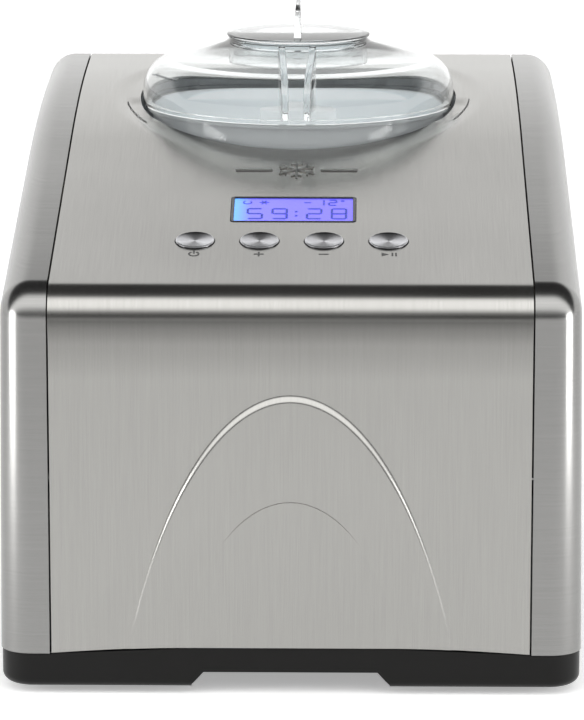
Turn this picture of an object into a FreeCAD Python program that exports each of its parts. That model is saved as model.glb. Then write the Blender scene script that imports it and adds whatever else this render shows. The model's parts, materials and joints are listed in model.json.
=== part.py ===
import FreeCAD, Part
import math
import os

# Compressor ice cream maker: a steel wrapped cabinet on a plastic base, with a
# removable aluminium bowl under a clear lid, a stirring paddle on a geared
# drive, and a small refrigeration circuit in front of the bowl.
# Units are millimetres. +Z is up, the front faces -Y, and the origin is the
# centre of the bounding box's bottom.

os.makedirs("parts", exist_ok=True)
Vec = FreeCAD.Vector

# ---- cabinet ----
NOSE_FRONT = -190.0
NOSE_PROUD = 3.0
NOSE_R = 17.0
COVE_R = 17.0
FRONT_FACE = NOSE_FRONT + NOSE_PROUD
REAR_LIMIT = 190.0
REAR_FACE = 186.5
HALF_WIDTH_BASE = 144.0
SIDE_LEAN_DEG = 0.6
PANEL_HALF = 118.2
COVER_INNER = 118.8
SHEET = 1.6
COVER_EDGE_R = 16.0
CORNER_R = 18.0
KNEE_Y = 0.0
KNEE_Z = 248.8
FRONT_SLOPE = 13.6
REAR_SLOPE = 3.5
CROWN_R = 750.0
COVER_BOTTOM = 21.5
SHEET_BOTTOM = 21.9
SHEET_RISE = 3.0
RISE_HALF = 49.0
REAR_LIP = 14.0

# ---- base and feet ----
FEET_RISE = 4.0
BASE_TOP = 21.0
BASE_WALL = 3.0
FLOOR_Z = 13.0
FLOOR_T = 2.5
BASE_TOP_FLOOR = FLOOR_Z + FLOOR_T
BASE_EDGE_R = 5.0
NOTCH_HALF = 49.0
NOTCH_TOP_HALF = 43.0
NOTCH_H = 8.2
FOOT_R = 10.0
FOOT_X = 118.0
FOOT_Y = 158.0

# ---- bowl well ----
AXIS_Y = 73.0
OPENING_R = 85.3
DISH_R = 99.0
DISH_DEPTH = 0.9
BOWL_R = 78.5
BOWL_T = 1.5
BOWL_FLANGE_R = 81.6
BOWL_RIM_Z = 257.5
BOWL_FLOOR_Z = 131.0
BOWL_FOOT_R = 12.0
TUBE_R_IN = 7.5
TUBE_R_OUT = 10.0
TUBE_TOP = 164.0
POT_GAP = 0.6
POT_T = 3.0
POT_TOP = 241.0
POT_FLOOR_T = 4.0
COIL_TUBE_R = 3.5
COIL_TURNS = 6
COIL_PITCH = 15.0
COIL_R = BOWL_R + POT_GAP + POT_T + COIL_TUBE_R + 0.1
COIL_Z0 = BOWL_FLOOR_Z + 8.0
FOAM_R_OUT = 105.0

# ---- lid and cap ----
LID_R = 84.0
LID_T = 1.8
LID_WIDEST_Z = 265.8
LID_SHOULDER_R = 18.0
LID_TOP_SLOPE = 14.7
LID_SKIRT_Z = 245.6
FILL_R = 35.4
COLLAR_BOTTOM = 280.7
COLLAR_TOP = 293.9
CAP_R = 38.6
CAP_T = 1.6
CAP_Z = 294.2
FIN_TOP = 313.5
FIN_HALF = 25.0

# ---- controls ----
BUTTON_R = 9.6
BUTTON_HOLE_R = 10.1
BUTTON_PITCH = 32.5
BUTTON_Y = -128.0
BUTTON_SHIFT_X = 0.3
BUTTON_PROUD = 1.0
BUTTON_BODY = 4.0
DISPLAY_Y = -89.5
DISPLAY_W = 63.0
DISPLAY_H = 32.0

# ---- drive ----
SHAFT_R = 5.0
SHAFT_TOP = 176.0
SHAFT_HEX_R = 4.6
SHAFT_BOTTOM = 64.0
BUSH_R = 9.0
RUN_GAP = 0.05
GEAR_MODULE_1 = 1.0
GEAR_MODULE_2 = 1.5
PINION_TEETH = 12
IDLER_TEETH = 48
IDLER_PINION_TEETH = 14
OUTPUT_TEETH = 42
GEARBOX_Z0 = 66.0
GEARBOX_Z1 = 104.0

# ---- refrigeration ----
COMP_X = 44.0
COMP_Y = -106.0
COMP_R = 52.0
COMP_Z0 = 34.0
COMP_Z1 = 146.0
FAN_Y = -106.0
FAN_Z = 88.0
FAN_R = 44.0
FAN_X = -72.0
COND_X0 = -114.0
COND_X1 = -88.0
LINE_X = 113.0


def save(name, shape):
    if not shape.isValid():
        shape = shape.removeSplitter()
    shape.exportStep("parts/" + name + ".step")
    print(name, "valid", shape.isValid(), "solids", len(shape.Solids), "volume", round(shape.Volume, 1))


def box(x0, y0, z0, x1, y1, z1):
    return Part.makeBox(x1 - x0, y1 - y0, z1 - z0, Vec(x0, y0, z0))


def cyl(r, x, y, z0, z1):
    return Part.makeCylinder(r, z1 - z0, Vec(x, y, z0))


def cyl_x(r, x0, x1, y, z):
    return Part.makeCylinder(r, x1 - x0, Vec(x0, y, z), Vec(1, 0, 0))


def cyl_y(r, y0, y1, x, z):
    return Part.makeCylinder(r, y1 - y0, Vec(x, y0, z), Vec(0, 1, 0))


def ring(r_out, r_in, x, y, z0, z1):
    return cyl(r_out, x, y, z0, z1).cut(cyl(r_in, x, y, z0 - 1, z1 + 1))


def turned(points, x, y):
    """Solid of revolution about a vertical axis from a closed (radius, height) outline."""
    corners = [Vec(x + r, y, z) for r, z in points]
    corners.append(corners[0])
    face = Part.Face(Part.makePolygon(corners))
    return face.revolve(Vec(x, y, 0), Vec(0, 0, 1), 360)


def turned_edges(edges, x, y):
    """As turned, from edges drawn in the plane x = radius, z = height."""
    wire = Part.Wire(Part.sortEdges(edges)[0])
    solid = Part.Face(wire).revolve(Vec(0, 0, 0), Vec(0, 0, 1), 360)
    solid.translate(Vec(x, y, 0))
    return solid


def seg(r0, z0, r1, z1):
    return Part.LineSegment(Vec(r0, 0, z0), Vec(r1, 0, z1)).toShape()


def rim_arc(cr, cz, rad, a0, a1):
    points = []
    for a in (a0, (a0 + a1) / 2, a1):
        t = math.radians(a)
        points.append(Vec(cr + rad * math.cos(t), 0, cz + rad * math.sin(t)))
    return Part.Arc(points[0], points[1], points[2]).toShape()


def group(shapes):
    return Part.makeCompound(shapes)


def fused(shapes):
    result = shapes[0]
    for extra in shapes[1:]:
        result = result.fuse(extra)
    return result.removeSplitter()


def tube_run(points, r, bend):
    """Round bar along straight runs joined by tangent arcs."""
    pts = [Vec(p[0], p[1], p[2]) for p in points]
    edges = []
    last = pts[0]
    for i in range(1, len(pts) - 1):
        d_in = (pts[i] - pts[i - 1]).normalize()
        d_out = (pts[i + 1] - pts[i]).normalize()
        half = d_in.getAngle(d_out) / 2
        reach = bend * math.tan(half)
        start = pts[i] - d_in * reach
        end = pts[i] + d_out * reach
        inward = (d_out - d_in).normalize()
        middle = pts[i] + inward * (bend / math.cos(half) - bend)
        edges.append(Part.LineSegment(last, start).toShape())
        edges.append(Part.Arc(start, middle, end).toShape())
        last = end
    edges.append(Part.LineSegment(last, pts[-1]).toShape())
    path = Part.Wire(edges)
    direction = (pts[1] - pts[0]).normalize()
    disc = Part.Wire([Part.Circle(pts[0], direction, r).toShape()])
    return path.makePipeShell([disc], True, False)


# ---- cabinet outline in the Y-Z plane ----

SLOPE_A = math.radians(FRONT_SLOPE)
SLOPE_B = math.radians(REAR_SLOPE)
CROWN_Y = KNEE_Y + CROWN_R * math.sin(SLOPE_A)
CROWN_Z = KNEE_Z - CROWN_R * math.cos(SLOPE_A)
CROWN_END_Y = CROWN_Y - CROWN_R * math.sin(SLOPE_B)
CROWN_END_Z = CROWN_Z + CROWN_R * math.cos(SLOPE_B)


def yz_line(y0, z0, y1, z1):
    return Part.LineSegment(Vec(0, y0, z0), Vec(0, y1, z1)).toShape()


def yz_point(cy, cz, r, angle):
    t = math.radians(angle)
    return (cy + r * math.cos(t), cz + r * math.sin(t))


def yz_arc(cy, cz, r, a0, a1):
    ends = [yz_point(cy, cz, r, a) for a in (a0, (a0 + a1) / 2, a1)]
    pts = [Vec(0, y, z) for y, z in ends]
    return Part.Arc(pts[0], pts[1], pts[2]).toShape()


def slope_gap(cy, cz):
    """Distance from a point up to the front slope line."""
    return cy * math.sin(SLOPE_A) + (KNEE_Z - cz) * math.cos(SLOPE_A)


def top_z(y):
    """Height of the cabinet's top surface over a place y."""
    if y < KNEE_Y:
        return KNEE_Z + (y - KNEE_Y) * math.tan(SLOPE_A)
    if y > CROWN_END_Y:
        return CROWN_END_Z + (y - CROWN_END_Y) * math.tan(SLOPE_B)
    return CROWN_Z + math.sqrt(CROWN_R ** 2 - (y - CROWN_Y) ** 2)


def top_edges(inset, corner_y, corner_z, corner_r):
    """Slope, crown and rear roll, from the end of the front corner's arc."""
    a_deg = 90 + FRONT_SLOPE
    b_deg = 90 + REAR_SLOPE
    start = yz_point(corner_y, corner_z, corner_r - inset, a_deg)
    knee = yz_point(CROWN_Y, CROWN_Z, CROWN_R - inset, a_deg)
    end = yz_point(CROWN_Y, CROWN_Z, CROWN_R - inset, b_deg)
    roll_y = REAR_FACE - CORNER_R
    roll_z = top_z(roll_y) - CORNER_R / math.cos(SLOPE_B)
    roll = yz_point(roll_y, roll_z, CORNER_R - inset, b_deg)
    edges = [
        yz_line(start[0], start[1], knee[0], knee[1]),
        yz_arc(CROWN_Y, CROWN_Z, CROWN_R - inset, a_deg, b_deg),
        yz_line(end[0], end[1], roll[0], roll[1]),
        yz_arc(roll_y, roll_z, CORNER_R - inset, b_deg, 0),
    ]
    return edges, roll_z


def nose_centre():
    cy = NOSE_FRONT + NOSE_R
    cz = KNEE_Z - (NOSE_R - cy * math.sin(SLOPE_A)) / math.cos(SLOPE_A)
    return cy, cz


def wrap_edges(inset, bottom, rear_end):
    """Front face, cove, nose, top and rear lip of the wrapped steel sheet."""
    cy, cz = nose_centre()
    cove_y = FRONT_FACE - COVE_R
    cove_z = cz - math.sqrt((NOSE_R + COVE_R) ** 2 - (cy - cove_y) ** 2)
    swing = math.degrees(math.atan2(cz - cove_z, cy - cove_y))
    edges = [
        yz_line(FRONT_FACE + inset, bottom, FRONT_FACE + inset, cove_z),
        yz_arc(cove_y, cove_z, COVE_R + inset, 0, swing),
        yz_arc(cy, cz, NOSE_R - inset, 180 + swing, 90 + FRONT_SLOPE),
    ]
    more, roll_z = top_edges(inset, cy, cz, NOSE_R)
    edges.extend(more)
    edges.append(yz_line(REAR_FACE - inset, roll_z, REAR_FACE - inset, rear_end))
    return edges


def plain_edges(inset, bottom):
    """Side cover outline: like the wrap, with a plain rounded front corner."""
    cy = FRONT_FACE + CORNER_R
    cz = KNEE_Z - (CORNER_R - cy * math.sin(SLOPE_A)) / math.cos(SLOPE_A)
    edges = [
        yz_line(FRONT_FACE + inset, bottom, FRONT_FACE + inset, cz),
        yz_arc(cy, cz, CORNER_R - inset, 180, 90 + FRONT_SLOPE),
    ]
    more, roll_z = top_edges(inset, cy, cz, CORNER_R)
    edges.extend(more)
    edges.append(yz_line(REAR_FACE - inset, roll_z, REAR_FACE - inset, bottom))
    return edges


def prism(edges, closing, x0, x1):
    face = Part.Face(Part.Wire(Part.sortEdges(edges + closing)[0]))
    solid = face.extrude(Vec(x1 - x0, 0, 0))
    solid.translate(Vec(x0, 0, 0))
    return solid


def filled_wrap(inset, bottom, x_half):
    """All the space inside the wrapped sheet's outline at this inset."""
    edges = wrap_edges(inset, bottom, bottom)
    closing = [yz_line(REAR_FACE - inset, bottom, FRONT_FACE + inset, bottom)]
    return prism(edges, closing, -x_half, x_half)


def normal_to_slope(y, depth0, depth1, r, x):
    """Cylinder square to the front slope, between two depths under its surface."""
    out = Vec(0, -math.sin(SLOPE_A), math.cos(SLOPE_A))
    surface = Vec(x, y, top_z(y))
    return Part.makeCylinder(r, depth1 - depth0, surface - out * depth1, out)


def slope_block(y, half_x, half_y, depth0, depth1, x=0.0):
    """Block square to the front slope, between two depths under its surface."""
    block = Part.makeBox(2 * half_x, 2 * half_y, depth1 - depth0, Vec(-half_x, -half_y, -depth1))
    block.rotate(Vec(0, 0, 0), Vec(1, 0, 0), FRONT_SLOPE)
    block.translate(Vec(x, y, top_z(y)))
    return block


def button_x(index):
    return (index - 1.5) * BUTTON_PITCH + BUTTON_SHIFT_X


# ---- cabinet pieces ----

ARCH_APEX_Z = 152.5
ARCH_HALF = 80.0
ARCH_DROP = 122.0
INNER_APEX_Z = 99.5
INNER_HALF = 46.0
INNER_DROP = 47.0


def arch_prism(apex_z, half, drop, y0, y1):
    """Parabolic arch, open at the bottom, as a prism along Y."""
    curve = Part.BezierCurve()
    left = Vec(-half, y0, apex_z - drop)
    right = Vec(half, y0, apex_z - drop)
    curve.setPoles([left, Vec(0, y0, apex_z + drop), right])
    base_line = Part.LineSegment(right, left).toShape()
    face = Part.Face(Part.Wire([curve.toShape(), base_line]))
    return face.extrude(Vec(0, y1 - y0, 0))


def leaning_slab(apex_z, drop, proud):
    """Slab in front of the face, thick at the arch's apex and thin at its foot."""
    corners = [
        Vec(-PANEL_HALF, FRONT_FACE + 0.5, apex_z - drop - 2),
        Vec(-PANEL_HALF, FRONT_FACE - 0.1, apex_z - drop - 2),
        Vec(-PANEL_HALF, FRONT_FACE - proud, apex_z + 2),
        Vec(-PANEL_HALF, FRONT_FACE + 0.5, apex_z + 2),
    ]
    face = Part.Face(Part.makePolygon(corners + [corners[0]]))
    return face.extrude(Vec(2 * PANEL_HALF, 0, 0))


def bottom_rise(clear):
    """Prism under the arched lower edge of the front sheet."""
    z0 = SHEET_BOTTOM - clear
    corners = [
        Vec(-PANEL_HALF, FRONT_FACE - 1, z0),
        Vec(-RISE_HALF, FRONT_FACE - 1, z0 + SHEET_RISE),
        Vec(RISE_HALF, FRONT_FACE - 1, z0 + SHEET_RISE),
        Vec(PANEL_HALF, FRONT_FACE - 1, z0),
    ]
    return Part.Face(Part.makePolygon(corners + [corners[0]]))


def top_front_panel():
    cy, cz = nose_centre()
    edges, roll_z = top_edges(0, cy, cz, NOSE_R)
    rear_end = roll_z - REAR_LIP
    outer = wrap_edges(0, SHEET_BOTTOM, rear_end)
    inner = wrap_edges(SHEET, SHEET_BOTTOM, rear_end)
    caps = [
        yz_line(FRONT_FACE, SHEET_BOTTOM, FRONT_FACE + SHEET, SHEET_BOTTOM),
        yz_line(REAR_FACE, rear_end, REAR_FACE - SHEET, rear_end),
    ]
    sheet = prism(outer + inner, caps, -PANEL_HALF, PANEL_HALF)
    pad = arch_prism(ARCH_APEX_Z, ARCH_HALF, ARCH_DROP, FRONT_FACE - 3, FRONT_FACE + 1)
    sheet = sheet.fuse(pad.common(leaning_slab(ARCH_APEX_Z, ARCH_DROP, 1.3)))
    groove = arch_prism(INNER_APEX_Z, INNER_HALF, INNER_DROP, FRONT_FACE - 3, FRONT_FACE + 0.2)
    sheet = sheet.cut(groove)
    sheet = sheet.cut(bottom_rise(0).extrude(Vec(0, SHEET + 2, 0)))
    dish = cyl(DISH_R, 0, AXIS_Y, 220, 300).cut(filled_wrap(DISH_DEPTH, 200, PANEL_HALF))
    sheet = sheet.cut(dish)
    sheet = sheet.cut(cyl(OPENING_R, 0, AXIS_Y, 220, 300))
    for i in range(4):
        sheet = sheet.cut(normal_to_slope(BUTTON_Y, -2, 4, BUTTON_HOLE_R, button_x(i)))
    sheet = sheet.cut(slope_block(DISPLAY_Y, DISPLAY_W / 2 + 0.3, DISPLAY_H / 2 + 0.3, -2, 4))
    return sheet.removeSplitter()


def cover_block(inset, x0, bottom):
    """Filled upright side cover with its outer edge rounded."""
    edges = plain_edges(inset, bottom)
    closing = [yz_line(REAR_FACE - inset, bottom, FRONT_FACE + inset, bottom)]
    solid = prism(edges, closing, x0, HALF_WIDTH_BASE - inset)
    outer = max(solid.Faces, key=lambda f: f.CenterOfMass.x)
    loop = [e for e in outer.Edges if e.CenterOfMass.z > bottom + 1]
    return solid.makeFillet(COVER_EDGE_R - inset, loop)


def side_vents(y0, y1, z0, rows, x0):
    slots = []
    for i in range(rows):
        z = z0 + i * 9.0
        bar = box(x0, y0 + 2, z, x0 + 30, y1 - 2, z + 3.6)
        slots.append(bar)
    return slots


def side_cover(sign):
    """Cover shell, leaned in at the top, then trimmed at its seam and its foot."""
    low = COVER_BOTTOM - 6
    cover = cover_block(0, COVER_INNER - 8, low)
    cover = cover.cut(cover_block(SHEET, COVER_INNER - 12, low - 6))
    cover.rotate(Vec(HALF_WIDTH_BASE, 0, COVER_BOTTOM), Vec(0, 1, 0), -SIDE_LEAN_DEG)
    keep = box(COVER_INNER, -300, COVER_BOTTOM, HALF_WIDTH_BASE + 20, 300, 400)
    cover = cover.common(keep)
    for slot in side_vents(-148, -64, 52, 8, HALF_WIDTH_BASE - 12):
        cover = cover.cut(slot)
    if sign < 0:
        cover = cover.mirror(Vec(0, 0, 0), Vec(1, 0, 0))
    return cover


SCREW_SPOTS = [(-108, 34), (108, 34), (-108, 128), (108, 128), (-108, 228), (108, 228)]


def rear_cover():
    cy, cz = nose_centre()
    edges, roll_z = top_edges(0, cy, cz, NOSE_R)
    top = roll_z - REAR_LIP - 0.6
    plate = box(-PANEL_HALF, REAR_FACE - SHEET, SHEET_BOTTOM, PANEL_HALF, REAR_FACE, top)
    for row in range(10):
        for col in (-1, 0, 1):
            x = col * 62.0
            z = 92.0 + row * 10.0
            plate = plate.cut(box(x - 24, REAR_FACE - 5, z, x + 24, REAR_FACE + 5, z + 4))
    plate = plate.cut(cyl_y(9.3, REAR_FACE - 5, REAR_FACE + 5, -84, 48))
    for x in (-88, 88):
        root = Vec(x, REAR_FACE - 0.5, 214)
        bump = Part.makeCone(12, 9, REAR_LIMIT - REAR_FACE + 0.5, root, Vec(0, 1, 0))
        plate = plate.fuse(bump)
    for x, z in SCREW_SPOTS:
        plate = plate.cut(cyl_y(2.2, REAR_FACE - 5, REAR_FACE + 5, x, z))
    return plate.removeSplitter()


def cover_screws():
    screws = []
    for x, z in SCREW_SPOTS:
        head = Part.makeCone(3.9, 2.6, 1.8, Vec(x, REAR_FACE + 0.05, z), Vec(0, 1, 0))
        shank = cyl_y(1.9, REAR_FACE - 9, REAR_FACE + 0.1, x, z)
        cross = box(x - 2.2, REAR_FACE + 1.0, z - 0.4, x + 2.2, REAR_FACE + 3, z + 0.4)
        other = box(x - 0.4, REAR_FACE + 1.0, z - 2.2, x + 0.4, REAR_FACE + 3, z + 2.2)
        screws.append(head.fuse(shank).cut(cross).cut(other))
    return group(screws)


def rounded_plan(half_x, y0, y1, z0, z1, r):
    block = box(-half_x, y0, z0, half_x, y1, z1)
    upright = [e for e in block.Edges if abs(e.Vertexes[0].X - e.Vertexes[1].X) < 0.01
               and abs(e.Vertexes[0].Y - e.Vertexes[1].Y) < 0.01]
    return block.makeFillet(r, upright)


def base_pan():
    x = HALF_WIDTH_BASE - 0.6
    y0 = FRONT_FACE + 0.5
    y1 = REAR_FACE - 0.5
    shell = rounded_plan(x, y0, y1, FEET_RISE, BASE_TOP, COVER_EDGE_R)
    low = [e for e in shell.Edges if e.BoundBox.ZMax < FEET_RISE + 0.01]
    shell = shell.makeFillet(BASE_EDGE_R, low)
    w = BASE_WALL
    upper = rounded_plan(x - w, y0 + w, y1 - w, FLOOR_Z + FLOOR_T, BASE_TOP + 5, COVER_EDGE_R - w)
    lower = rounded_plan(x - 2 * w, y0 + 2 * w, y1 - 2 * w, 0, FLOOR_Z, COVER_EDGE_R - 2 * w)
    shell = shell.cut(upper).cut(lower)
    rise = bottom_rise(0.5).extrude(Vec(0, BASE_WALL, 0))
    rise.translate(Vec(0, 1.5, 0))
    foot_strip = box(-PANEL_HALF, y0, BASE_TOP - 2, PANEL_HALF, y0 + BASE_WALL, SHEET_BOTTOM - 0.45)
    shell = shell.fuse(rise).fuse(foot_strip)
    corners = [
        Vec(-NOTCH_HALF, y0 - 2, FEET_RISE - 1),
        Vec(-NOTCH_HALF, y0 - 2, FEET_RISE + 1.5),
        Vec(-NOTCH_TOP_HALF, y0 - 2, FEET_RISE + NOTCH_H),
        Vec(NOTCH_TOP_HALF, y0 - 2, FEET_RISE + NOTCH_H),
        Vec(NOTCH_HALF, y0 - 2, FEET_RISE + 1.5),
        Vec(NOTCH_HALF, y0 - 2, FEET_RISE - 1),
    ]
    notch = Part.Face(Part.makePolygon(corners + [corners[0]])).extrude(Vec(0, 12, 0))
    shell = shell.cut(notch)
    for i in range(7):
        yy = -150 + i * 14
        shell = shell.cut(box(-108, yy, FLOOR_Z - 1, -60, yy + 5, FLOOR_Z + FLOOR_T + 1))
    for fx, fy in foot_places():
        shell = shell.cut(cyl(4.2, fx, fy, FLOOR_Z - 1, BASE_TOP_FLOOR + 1))
    return shell.removeSplitter()


def foot_places():
    return [(sx * FOOT_X, sy * FOOT_Y) for sx in (-1, 1) for sy in (-1, 1)]


def rubber_feet():
    feet = []
    for x, y in foot_places():
        outline = [
            (0, 0), (FOOT_R - 1, 0), (FOOT_R, 1.2), (FOOT_R + 0.8, FLOOR_Z),
            (4.0, FLOOR_Z), (4.0, BASE_TOP_FLOOR), (5.4, BASE_TOP_FLOOR),
            (4.2, BASE_TOP_FLOOR + 3), (0, BASE_TOP_FLOOR + 3),
        ]
        feet.append(turned(outline, x, y))
    return group(feet)


# ---- bowl well ----

def opening_ring():
    """Plastic liner between the cooling pot and the panel's opening."""
    wall = ring(OPENING_R + 2.0, OPENING_R - 0.2, 0, AXIS_Y, POT_TOP, 285)
    wall = wall.common(filled_wrap(SHEET + 0.3, 100, PANEL_HALF - 2))
    ledge = ring(OPENING_R + 0.5, BOWL_R + POT_GAP, 0, AXIS_Y, POT_TOP + 0.1, POT_TOP + 2.2)
    return wall.fuse(ledge).removeSplitter()


def cooling_pot():
    r_in = BOWL_R + POT_GAP
    r_out = r_in + POT_T
    z_in = BOWL_FLOOR_Z - 1.0
    z_low = z_in - POT_FLOOR_T
    outline = [
        (BUSH_R, z_low), (r_out, z_low), (r_out, POT_TOP - 3), (r_out + 6, POT_TOP - 3),
        (r_out + 6, POT_TOP), (r_in, POT_TOP), (r_in, z_in), (BUSH_R, z_in),
    ]
    return turned(outline, 0, AXIS_Y)


def evaporator_coil():
    """Refrigerant tube wound round the pot."""
    helix = Part.makeHelix(COIL_PITCH, COIL_TURNS * COIL_PITCH, COIL_R)
    helix.translate(Vec(0, AXIS_Y, COIL_Z0))
    path = Part.Wire(helix.Edges)
    start = Vec(COIL_R, AXIS_Y, COIL_Z0)
    rise = COIL_PITCH / (2 * math.pi)
    tangent = Vec(0, COIL_R, rise)
    disc = Part.Wire([Part.Circle(start, tangent, COIL_TUBE_R).toShape()])
    return path.makePipeShell([disc], True, True)


def insulation_jacket():
    r_in = BOWL_R + POT_GAP + POT_T + 2 * COIL_TUBE_R + 0.5
    z_low = BOWL_FLOOR_Z - 1.0 - POT_FLOOR_T
    outline = [
        (24, z_low - 12), (FOAM_R_OUT, z_low - 12), (FOAM_R_OUT, POT_TOP - 12),
        (r_in, POT_TOP - 12), (r_in, z_low - 0.2), (24, z_low - 0.2),
    ]
    foam = turned(outline, 0, AXIS_Y)
    pipe_slot = box(COIL_R - 4, AXIS_Y - 30, COIL_Z0 - 5, FOAM_R_OUT + 5, AXIS_Y - 1, COIL_Z0 + 5)
    return foam.cut(pipe_slot)


def bowl():
    r_in = BOWL_R - BOWL_T
    z0 = BOWL_FLOOR_Z
    z1 = BOWL_RIM_Z
    edges = [
        seg(TUBE_R_IN, z0, BOWL_R - 10, z0),
        rim_arc(BOWL_R - 10, z0 + 10, 10, -90, 0),
        seg(BOWL_R, z0 + 10, BOWL_R, z1 - 2.5),
        seg(BOWL_R, z1 - 2.5, BOWL_FLANGE_R, z1 - 2.5),
        seg(BOWL_FLANGE_R, z1 - 2.5, BOWL_FLANGE_R, z1 - 0.8),
        seg(BOWL_FLANGE_R, z1 - 0.8, BOWL_FLANGE_R - 0.8, z1),
        seg(BOWL_FLANGE_R - 0.8, z1, r_in + 1, z1),
        seg(r_in + 1, z1, r_in, z1 - 1),
        seg(r_in, z1 - 1, r_in, z0 + 10),
        rim_arc(BOWL_R - 10, z0 + 10, 10 - BOWL_T, 0, -90),
        seg(BOWL_R - 10, z0 + BOWL_T, TUBE_R_OUT + 4, z0 + BOWL_T),
        seg(TUBE_R_OUT + 4, z0 + BOWL_T, TUBE_R_OUT, z0 + 6),
        seg(TUBE_R_OUT, z0 + 6, TUBE_R_OUT - 0.8, TUBE_TOP),
        seg(TUBE_R_OUT - 0.8, TUBE_TOP, TUBE_R_IN, TUBE_TOP),
        seg(TUBE_R_IN, TUBE_TOP, TUBE_R_IN, z0),
    ]
    return turned_edges(edges, 0, AXIS_Y)


PADDLE_FLOOR = BOWL_FLOOR_Z + BOWL_T + 1.5
PADDLE_TOP = 240.0
LOBE_TOP = 255.0
LOBE_H = 8.0
LOBE_RING_R = 14.0
HUB_R = 13.0
BLADE_T = 3.0
BLADE_R = 74.0


def paddle_blade():
    """One open blade: a foot bar, an upright scraper and two braces."""
    foot = box(HUB_R - 2, -BLADE_T / 2, PADDLE_FLOOR, BLADE_R - 9, BLADE_T / 2, PADDLE_FLOOR + 16)
    upright = box(BLADE_R - 12, -BLADE_T / 2, PADDLE_FLOOR + 10, BLADE_R, BLADE_T / 2, PADDLE_TOP - 24)
    turn_at = Vec(BLADE_R - 11, -BLADE_T / 2, PADDLE_FLOOR + 11)
    corner = Part.makeCylinder(11, BLADE_T, turn_at, Vec(0, 1, 0))
    arm = box(0, -BLADE_T / 2, 0, BLADE_R + 14, BLADE_T / 2, 12)
    arm.rotate(Vec(0, 0, 0), Vec(0, 1, 0), 38)
    arm.translate(Vec(4, 0, PADDLE_TOP - 16))
    limit = box(4, -10, PADDLE_FLOOR, BLADE_R, 10, PADDLE_TOP)
    blade = fused([foot, corner, upright, arm.common(limit)])
    return blade


def paddle():
    hub = cyl(HUB_R, 0, 0, PADDLE_FLOOR, TUBE_TOP + 22)
    stem = Part.makeCone(HUB_R, 8, LOBE_TOP - LOBE_H - TUBE_TOP - 20, Vec(0, 0, TUBE_TOP + 22))
    lobes = cyl(12, 0, 0, LOBE_TOP - LOBE_H, LOBE_TOP)
    for i in range(3):
        t = math.radians(90 + 120 * i)
        x = LOBE_RING_R * math.cos(t)
        y = LOBE_RING_R * math.sin(t)
        lobes = lobes.fuse(cyl(8.5, x, y, LOBE_TOP - LOBE_H, LOBE_TOP))
    shape = fused([hub, stem, lobes])
    for i in range(2):
        blade = paddle_blade()
        blade.rotate(Vec(0, 0, 0), Vec(0, 0, 1), 180 * i + 18)
        shape = shape.fuse(blade)
    shape = shape.cut(cyl(TUBE_R_OUT + 1.2, 0, 0, PADDLE_FLOOR - 1, TUBE_TOP + 2))
    shape = shape.cut(cyl(TUBE_R_OUT + 5.2, 0, 0, PADDLE_FLOOR - 1, BOWL_FLOOR_Z + 7))
    shape = shape.cut(hexagon(SHAFT_HEX_R + 0.35, TUBE_TOP + 1, SHAFT_TOP + 1))
    shape.translate(Vec(0, AXIS_Y, 0))
    return shape.removeSplitter()


def hexagon(flat_r, z0, z1):
    """Hexagonal bar at the origin, flat_r from its axis to each flat."""
    corner = flat_r / math.cos(math.pi / 6)
    turns = [math.pi / 3 * i for i in range(6)]
    pts = [Vec(corner * math.cos(t), corner * math.sin(t), z0) for t in turns]
    return Part.Face(Part.makePolygon(pts + [pts[0]])).extrude(Vec(0, 0, z1 - z0))


def lid_outline():
    """Shoulder centre and the tangent point where the dome's cone begins."""
    cr = LID_R - LID_SHOULDER_R
    cz = LID_WIDEST_Z
    lean = math.radians(LID_TOP_SLOPE)
    return cr, cz, lean


def dome_z(r, inset):
    cr, cz, lean = lid_outline()
    rad = LID_SHOULDER_R - inset
    tr = cr + rad * math.sin(lean)
    tz = cz + rad * math.cos(lean)
    return tz + (tr - r) * math.tan(lean)


def lid():
    cr, cz, lean = lid_outline()
    r_in = LID_R - LID_T
    out = FILL_R + LID_T
    top_deg = 90 - LID_TOP_SLOPE
    edges = []
    for inset in (0, LID_T):
        rad = LID_SHOULDER_R - inset
        tr = cr + rad * math.sin(lean)
        tz = cz + rad * math.cos(lean)
        edges.append(rim_arc(cr, cz, rad, 0, top_deg))
        edges.append(seg(tr, tz, out, dome_z(out, inset)))
    edges.extend([
        seg(out, dome_z(out, 0), out, COLLAR_TOP),
        seg(out, COLLAR_TOP, FILL_R, COLLAR_TOP),
        seg(FILL_R, COLLAR_TOP, FILL_R, COLLAR_BOTTOM),
        seg(FILL_R, COLLAR_BOTTOM, out, COLLAR_BOTTOM),
        seg(out, COLLAR_BOTTOM, out, dome_z(out, LID_T)),
        seg(r_in, cz, r_in, BOWL_RIM_Z + 2.4),
        seg(r_in, BOWL_RIM_Z + 2.4, r_in - 3, BOWL_RIM_Z + 2.4),
        seg(r_in - 3, BOWL_RIM_Z + 2.4, r_in - 3, BOWL_RIM_Z + 0.3),
        seg(r_in - 3, BOWL_RIM_Z + 0.3, r_in, BOWL_RIM_Z + 0.3),
        seg(r_in, BOWL_RIM_Z + 0.3, r_in, LID_SKIRT_Z),
        seg(r_in, LID_SKIRT_Z, LID_R - 0.4, LID_SKIRT_Z),
        seg(LID_R - 0.4, LID_SKIRT_Z, LID_R, cz),
    ])
    shape = turned_edges(edges, 0, AXIS_Y)
    hollow = turned_edges(lid_inner_edges(), 0, AXIS_Y)
    for sign in (-1, 1):
        rib = box(-1.3, -LID_R + 3, BOWL_RIM_Z + 2.6, 1.3, -FILL_R - 1, COLLAR_TOP)
        rib.rotate(Vec(0, -FILL_R, 0), Vec(0, 0, 1), -sign * 3.2)
        rib.translate(Vec(sign * 8.4, AXIS_Y, 0))
        shape = shape.fuse(rib.common(hollow))
    return shape.removeSplitter()


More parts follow.
